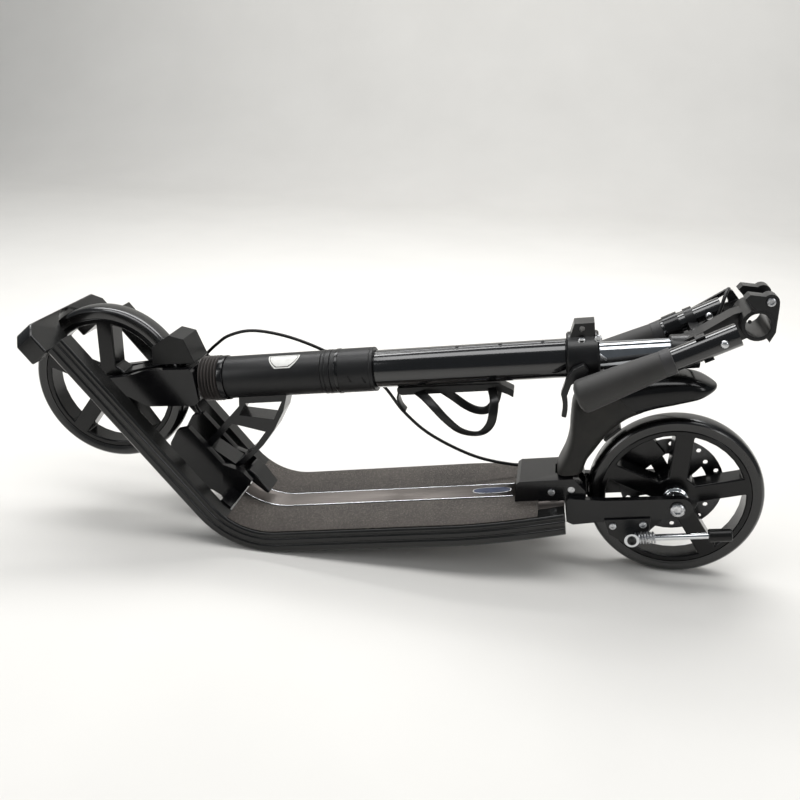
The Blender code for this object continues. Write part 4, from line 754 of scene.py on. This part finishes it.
BEND_X, BEND_R, DECK_BOTTOM = -0.471, 0.110, -0.014
CABLE_BEND_R = 0.1035
bend = np.radians([58.0, 45.0, 30.0, 15.0])
around = np.stack([BEND_X - CABLE_BEND_R * np.sin(bend), 0.0335 + 0.0 * bend,
                   DECK_BOTTOM + BEND_R - CABLE_BEND_R * np.cos(bend)], -1)
deck_clip = np.array([-0.578, 0.0335, 0.100])
cable("brake_cable_deck", [deck_clip, (-0.5800, 0.0335, 0.0760), *around, (-0.451, 0.0345, -0.0065),
                           (-0.300, 0.0380, -0.0065), (-0.180, 0.0400, -0.0065), (-0.135, 0.0425, 0.0),
                           (-0.112, 0.0428, 0.0150), (-0.092, 0.0410, 0.0400), (-0.073, 0.0350, 0.0650),
                           (-0.058, 0.0275, 0.0720)], DECK, "deck")
clip = (DECK.world([deck_clip]) - STEM.origin) @ STEM.axes.T
neck_clip, stem_clip, t_clip = (0.030, 0.036, 0.020), (0.225, 0.032, -0.008), (0.642, 0.0345, 0.002)
cable("brake_cable_lower", [neck_clip, (0.016, 0.037, 0.014), (0.004, 0.037, -0.018), (0.002, 0.036, -0.050),
                            (clip[0, 0] - 0.003, clip[0, 1], clip[0, 2] + 0.018), tuple(clip[0])], STEM,
      ("deck", "neck", STEM.world(clip[0] + (0.0, 0.0, 0.004)), STEM.world((0.010, 0.037, 0.004))))
cable("brake_cable_loop", [neck_clip, (0.048, 0.035, 0.033), (0.070, 0.030, 0.045), (0.103, 0.027, 0.050),
                           (0.145, 0.027, 0.040), (0.187, 0.030, 0.019), stem_clip], STEM,
      ("neck", "stem", STEM.world((0.040, 0.035, 0.028)), STEM.world((0.205, 0.031, 0.006))))
cable("brake_cable_upper", [stem_clip, (0.256, 0.036, -0.034), (0.278, 0.039, -0.072), (0.308, 0.040, -0.105),
                            (0.356, 0.040, -0.135), (0.399, 0.040, -0.149), (0.439, 0.042, -0.154),
                            (0.472, 0.046, -0.145), (0.506, 0.048, -0.125), (0.542, 0.048, -0.096),
                            (0.580, 0.047, -0.064), (0.610, 0.041, -0.038), (0.630, 0.0365, -0.017), t_clip], STEM,
      ("stem", "handlebar", STEM.world((0.290, 0.038, -0.090)), STEM.world((0.610, 0.041, -0.038))))
cable("brake_cable_lever", [t_clip, (0.648, 0.0345, 0.018), (0.654, 0.035, 0.034), (0.660, 0.042, 0.0475),
                            (0.665, 0.054, 0.052), (0.668, 0.064, 0.050)], STEM,
      ("handlebar", "right_grip", STEM.world((0.646, 0.0345, 0.012)), STEM.world((0.664, 0.052, 0.051))))

# ---------------------------------------------------------------- kickstand: bright rod and its return spring
leg_near = span_of("kickstand_leg", KICK)[0][1]
refined("kickstand_leg", CHROME, 0.0003)
COIL_R, WIRE_R = 0.0060, 0.0010
SUNK = 0.0002  # how far a screw head sits into its face
turns = np.linspace(0.0, 1.0, 420)
# helix round the rod: six turns, closing in a little at both ends
coil = COIL_R * (1.0 - 0.20 * np.exp(-turns / 0.04) - 0.20 * np.exp(-(1 - turns) / 0.04))
helix = np.stack([0.0075 + 0.0190 * turns, -0.0004 + coil * np.cos(12 * math.pi * turns),
                  coil * np.sin(12 * math.pi * turns)], -1)
sweep("kickstand_spring", helix, ring_section(WIRE_R, 10), KICK, "kickstand", ZINC, (0.9, 0.1, 0.1))
bolt("kickstand_pivot", KICK, (0.0, leg_near + SUNK, 0.0), -1.0, 0.0052, 0.0028, "kickstand", BLACK_STEEL)
bracket_near = span_of("kickstand_bracket", DECK)[0][1]
for number, at in enumerate(((-0.073, -0.0165), (-0.039, -0.0160))):
    bolt(f"kickstand_screw_{number}", DECK, (at[0], bracket_near + SUNK, at[1]), -1.0, 0.0042, 0.0028, "deck")

# ---------------------------------------------------------------- deck badge and head tube label
turn = np.linspace(0.0, 2 * math.pi, 96, endpoint=False)
# blunt oval: sine and cosine raised to a power below one, so that the ends stay full
circle = np.stack([np.cos(turn), np.sin(turn)], -1)
oval = np.sign(circle) * np.abs(circle) ** 0.8
STRIP_TOP = 0.0130 + 0.0012  # board top and the height of its bare strip
for name, half, thick, finish in (("badge_rim", (0.0240, 0.0078), 0.0006, CHROME),
                                  ("badge", (0.0226, 0.0066), 0.0009, BLUE)):
    outline = oval * half + (-0.2135, 0.0)
    slab(name, outline, STRIP_TOP - 0.0002, STRIP_TOP + thick, DECK, "deck", finish, bevel=0.0002, axis="Z")

# beads beside the bare strip: level, then round the bend to the board's end
flat_x = np.linspace(-0.187, BEND_X, 60)
turn_in = np.linspace(0.0, math.radians(43.5), 40)[1:]
reach = BEND_R - 0.0282
bead_x = np.concatenate([flat_x, BEND_X - reach * np.sin(turn_in)])
bead_z = np.concatenate([0.0 * flat_x + STRIP_TOP, 0.096 - reach * np.cos(turn_in)])
for side, sign in SIDES:
    for name, y, wide, tall, finish in (("bead", 0.0162, 0.0008, 0.0006, CHROME),
                                        ("seam", 0.0178, 0.0007, 0.0004, DARK_LINE_AND_HOLE_SHADE)):
        path = np.stack([bead_x, sign * y + 0.0 * bead_x, bead_z], -1)
        sweep(f"strip_{name}_{side}", path, ring_section(1.0, 12) * (wide, tall), DECK, "deck", finish)

# label on the head tube: its ends close in as the angle turns down to the side, and each layer is set in
across = np.linspace(0.0, 1.0, 40)
for name, inset, lift, finish in (("head_label", 0.0, 0.0003, WHITE), ("head_label_line", 0.0016, 0.0004, DARK_LINE_AND_HOLE_SHADE),
                                  ("head_label_field", 0.0024, 0.0005, WHITE)):
    start, stop = math.radians(14.0) + inset / 0.026, math.radians(56.0) - inset / 0.026
    around = np.linspace(start, stop, 40)[:, None]
    t = (around - start) / (stop - start)
    left, right = 0.132 + inset + 0.009 * t ** 2.2, 0.171 - inset - 0.011 * t ** 2.2
    u = left + (right - left) * across[None, :]
    faces = [np.stack([u, -reach * np.sin(around) + 0.0 * u, reach * np.cos(around) + 0.0 * u], -1)
             for reach in (0.0260 + lift, 0.0258)]
    shell = np.concatenate([faces[0], faces[1][:, ::-1]], 1)
    piece(name, grid_mesh(name, STEM.world(shell)), "neck", finish, 40.0)

# ---------------------------------------------------------------- stem details
# dark discs on the tube's top: painted shade of three small holes
for number, at in enumerate((0.360, 0.410, 0.458)):
    bolt(f"stem_hole_shade_{number}", STEM, (at, -0.003, 0.0219), 1.0, 0.0026, 0.0007, "stem", DARK_LINE_AND_HOLE_SHADE, False,
         along="Z")
# dark slabs on the sleeve's near side: painted shade of two small slots
for number, at in enumerate(((0.231, 0.002), (0.248, 0.000))):
    x, z = at
    slot_shape = [(x - 0.0008, z), (x + 0.0008, z), (x + 0.0038, z - 0.008), (x + 0.0022, z - 0.008)]
    slab(f"sleeve_slot_shade_{number}", slot_shape, -0.0267, -0.0255, STEM, "stem", DARK_LINE_AND_HOLE_SHADE, bevel=0.0001)

# clamp: two socket screws and a bright plate on the near face
for number, at in enumerate(((0.501, 0.0245), (0.519, 0.0260))):
    bolt(f"clamp_screw_{number}", STEM, (at[0], -0.0155, at[1]), -1.0, 0.0042, 0.0034, "stem", ZINC,
         node=("clamp_bolt",) if number == 0 else ())
slab("clamp_plate", [(0.5115, 0.0145), (0.5125, 0.0120), (0.5265, 0.0020), (0.5275, 0.0040),
                     (0.5150, 0.0150)], -0.0250, -0.0215, STEM, "stem", ZINC, 0.0008, 0.0003)

# ---------------------------------------------------------------- crossbar head details
HEAD_NEAR = -0.028  # near face of the crossbar head
SOCKET = STEM.child((0.682, 0.0, 0.033))
lathe("socket_ring", [(HEAD_NEAR - 0.0006, 0.0130), (HEAD_NEAR - 0.0006, 0.0166),
                      (HEAD_NEAR + 0.0014, 0.0171), (HEAD_NEAR + 0.0014, 0.0130)],
      SOCKET, "Y", "handlebar", SATIN, 72, 0.0004, closed=True)
bolt("head_pin", STEM, (0.694, HEAD_NEAR + SUNK, 0.0575), -1.0, 0.0046, 0.0030, "handlebar", ZINC)
for number, at in enumerate(((0.6755, 0.0475), (0.6735, 0.0375))):
    bolt(f"head_screw_{number}", STEM, (at[0], HEAD_NEAR + 0.0006, at[1]), -1.0, 0.0020, 0.0012, "handlebar",
         BLACK_STEEL)

# ---------------------------------------------------------------- rear bracket bolts
BRACKET_NEAR = -0.0317 + 0.0004  # just inside the rear bracket's near face
for number, at in enumerate(((-0.133, 0.010), (-0.120, 0.009))):
    bolt(f"bracket_screw_{number}", DECK, (at[0], BRACKET_NEAR, at[1]), -1.0, 0.0032, 0.0022, "deck",
         BLACK_STEEL)
bolt("bracket_bolt", DECK, (-0.140, BRACKET_NEAR, 0.025), -1.0, 0.0042, 0.0030, "deck", ZINC)

# ---------------------------------------------------------------- floor, light and camera
FLOOR_Z = cad_box[0][2]
paper, tree, shader, where = begin("pale_paper_floor", Roughness=0.9, Specular_IOR_Level=0.1)
tree.links.new(ramp(tree, noise(tree, where, 3.0), [(0.3, "#dedcd8"), (0.8, "#e3e1dd")]),
               shader.inputs["Base Color"])
bump(tree, shader, noise(tree, where, 260.0), 0.03, 0.0004)
# profile: level floor, quarter circle of 1.2 m, then a wall
turn = np.linspace(-math.pi / 2, 0.0, 24)
FLOOR_BACK, SWEEP_R, WALL_TOP = 2.4, 1.2, 5.0
sweep_up = np.stack([FLOOR_BACK + SWEEP_R * np.cos(turn), SWEEP_R + SWEEP_R * np.sin(turn)], -1)
line = np.concatenate([[(-6.0, 0.0), (FLOOR_BACK, 0.0)], sweep_up[1:], [(FLOOR_BACK + SWEEP_R, WALL_TOP)]])
width = np.array([-7.0, 7.0])
sheet = np.stack([width[None, :] + 0.0 * line[:, :1], line[:, :1] + 0.0 * width,
                  line[:, 1:] + FLOOR_Z + 0.0 * width], -1)
mesh = grid_mesh("backdrop", sheet, close_columns=False, caps=False)
mesh.shade_smooth()
mesh.materials.append(paper)
backdrop = bpy.data.objects.new("backdrop", mesh)
bpy.context.scene.collection.objects.link(backdrop)


def light(name, size, power, at, aim, colour="#ffffff"):
    """Soft box: a rectangular area light at one point, aimed at another."""
    data = bpy.data.lights.new(name, "AREA")
    data.shape, data.size, data.size_y, data.energy = "RECTANGLE", size[0], size[1], power
    data.color = linear(colour)[:3]
    made = bpy.data.objects.new(name, data)
    made.location = at
    made.rotation_euler = (Vector(aim) - Vector(at)).to_track_quat("-Z", "Y").to_euler()
    bpy.context.scene.collection.objects.link(made)


light("window", (2.6, 0.5), 30.0, (-0.2, 0.9, 1.7), (0.0, 0.0, 0.15))
light("wall", (4.5, 0.6), 60.0, (0.0, 1.6, 2.6), (0.0, 3.4, 1.0))
light("overhead", (2.6, 0.8), 30.0, (0.0, -0.3, 2.1), (0.0, 0.0, 0.1))
light("front_left", (0.5, 1.2), 10.0, (-1.7, -1.3, 1.2), (0.0, 0.0, 0.15))
light("front_right", (0.4, 1.2), 8.0, (1.8, -1.2, 1.1), (0.1, 0.0, 0.15))

world = bpy.data.worlds.new("studio")
world.use_nodes = True
world.node_tree.nodes["Background"].inputs["Color"].default_value = linear("#e4ecf2")
world.node_tree.nodes["Background"].inputs["Strength"].default_value = 0.20
bpy.context.scene.world = world
bpy.context.scene.view_settings.view_transform = "Standard"

CAMERA_AT = (0.1762, -0.9348, 0.5712)
azimuth, elevation, roll = (math.radians(v) for v in (9.53, 22.25, 2.09))
level = math.cos(elevation)
back = Vector((math.sin(azimuth) * level, -math.cos(azimuth) * level, math.sin(elevation)))
right = (-back).cross(Vector((0.0, 0.0, 1.0))).normalized()
over = right.cross(-back)
c, s = math.cos(roll), math.sin(roll)
tilted = (right * c + over * s, over * c - right * s, back)
view = bpy.data.cameras.new("view")
view.lens, view.sensor_width, view.clip_start, view.clip_end = 38.26, 36.0, 0.02, 40.0
camera = bpy.data.objects.new("view", view)
camera.matrix_world = Matrix.Translation(CAMERA_AT) @ Matrix(tilted).transposed().to_4x4()
bpy.context.scene.collection.objects.link(camera)
bpy.context.scene.camera = camera
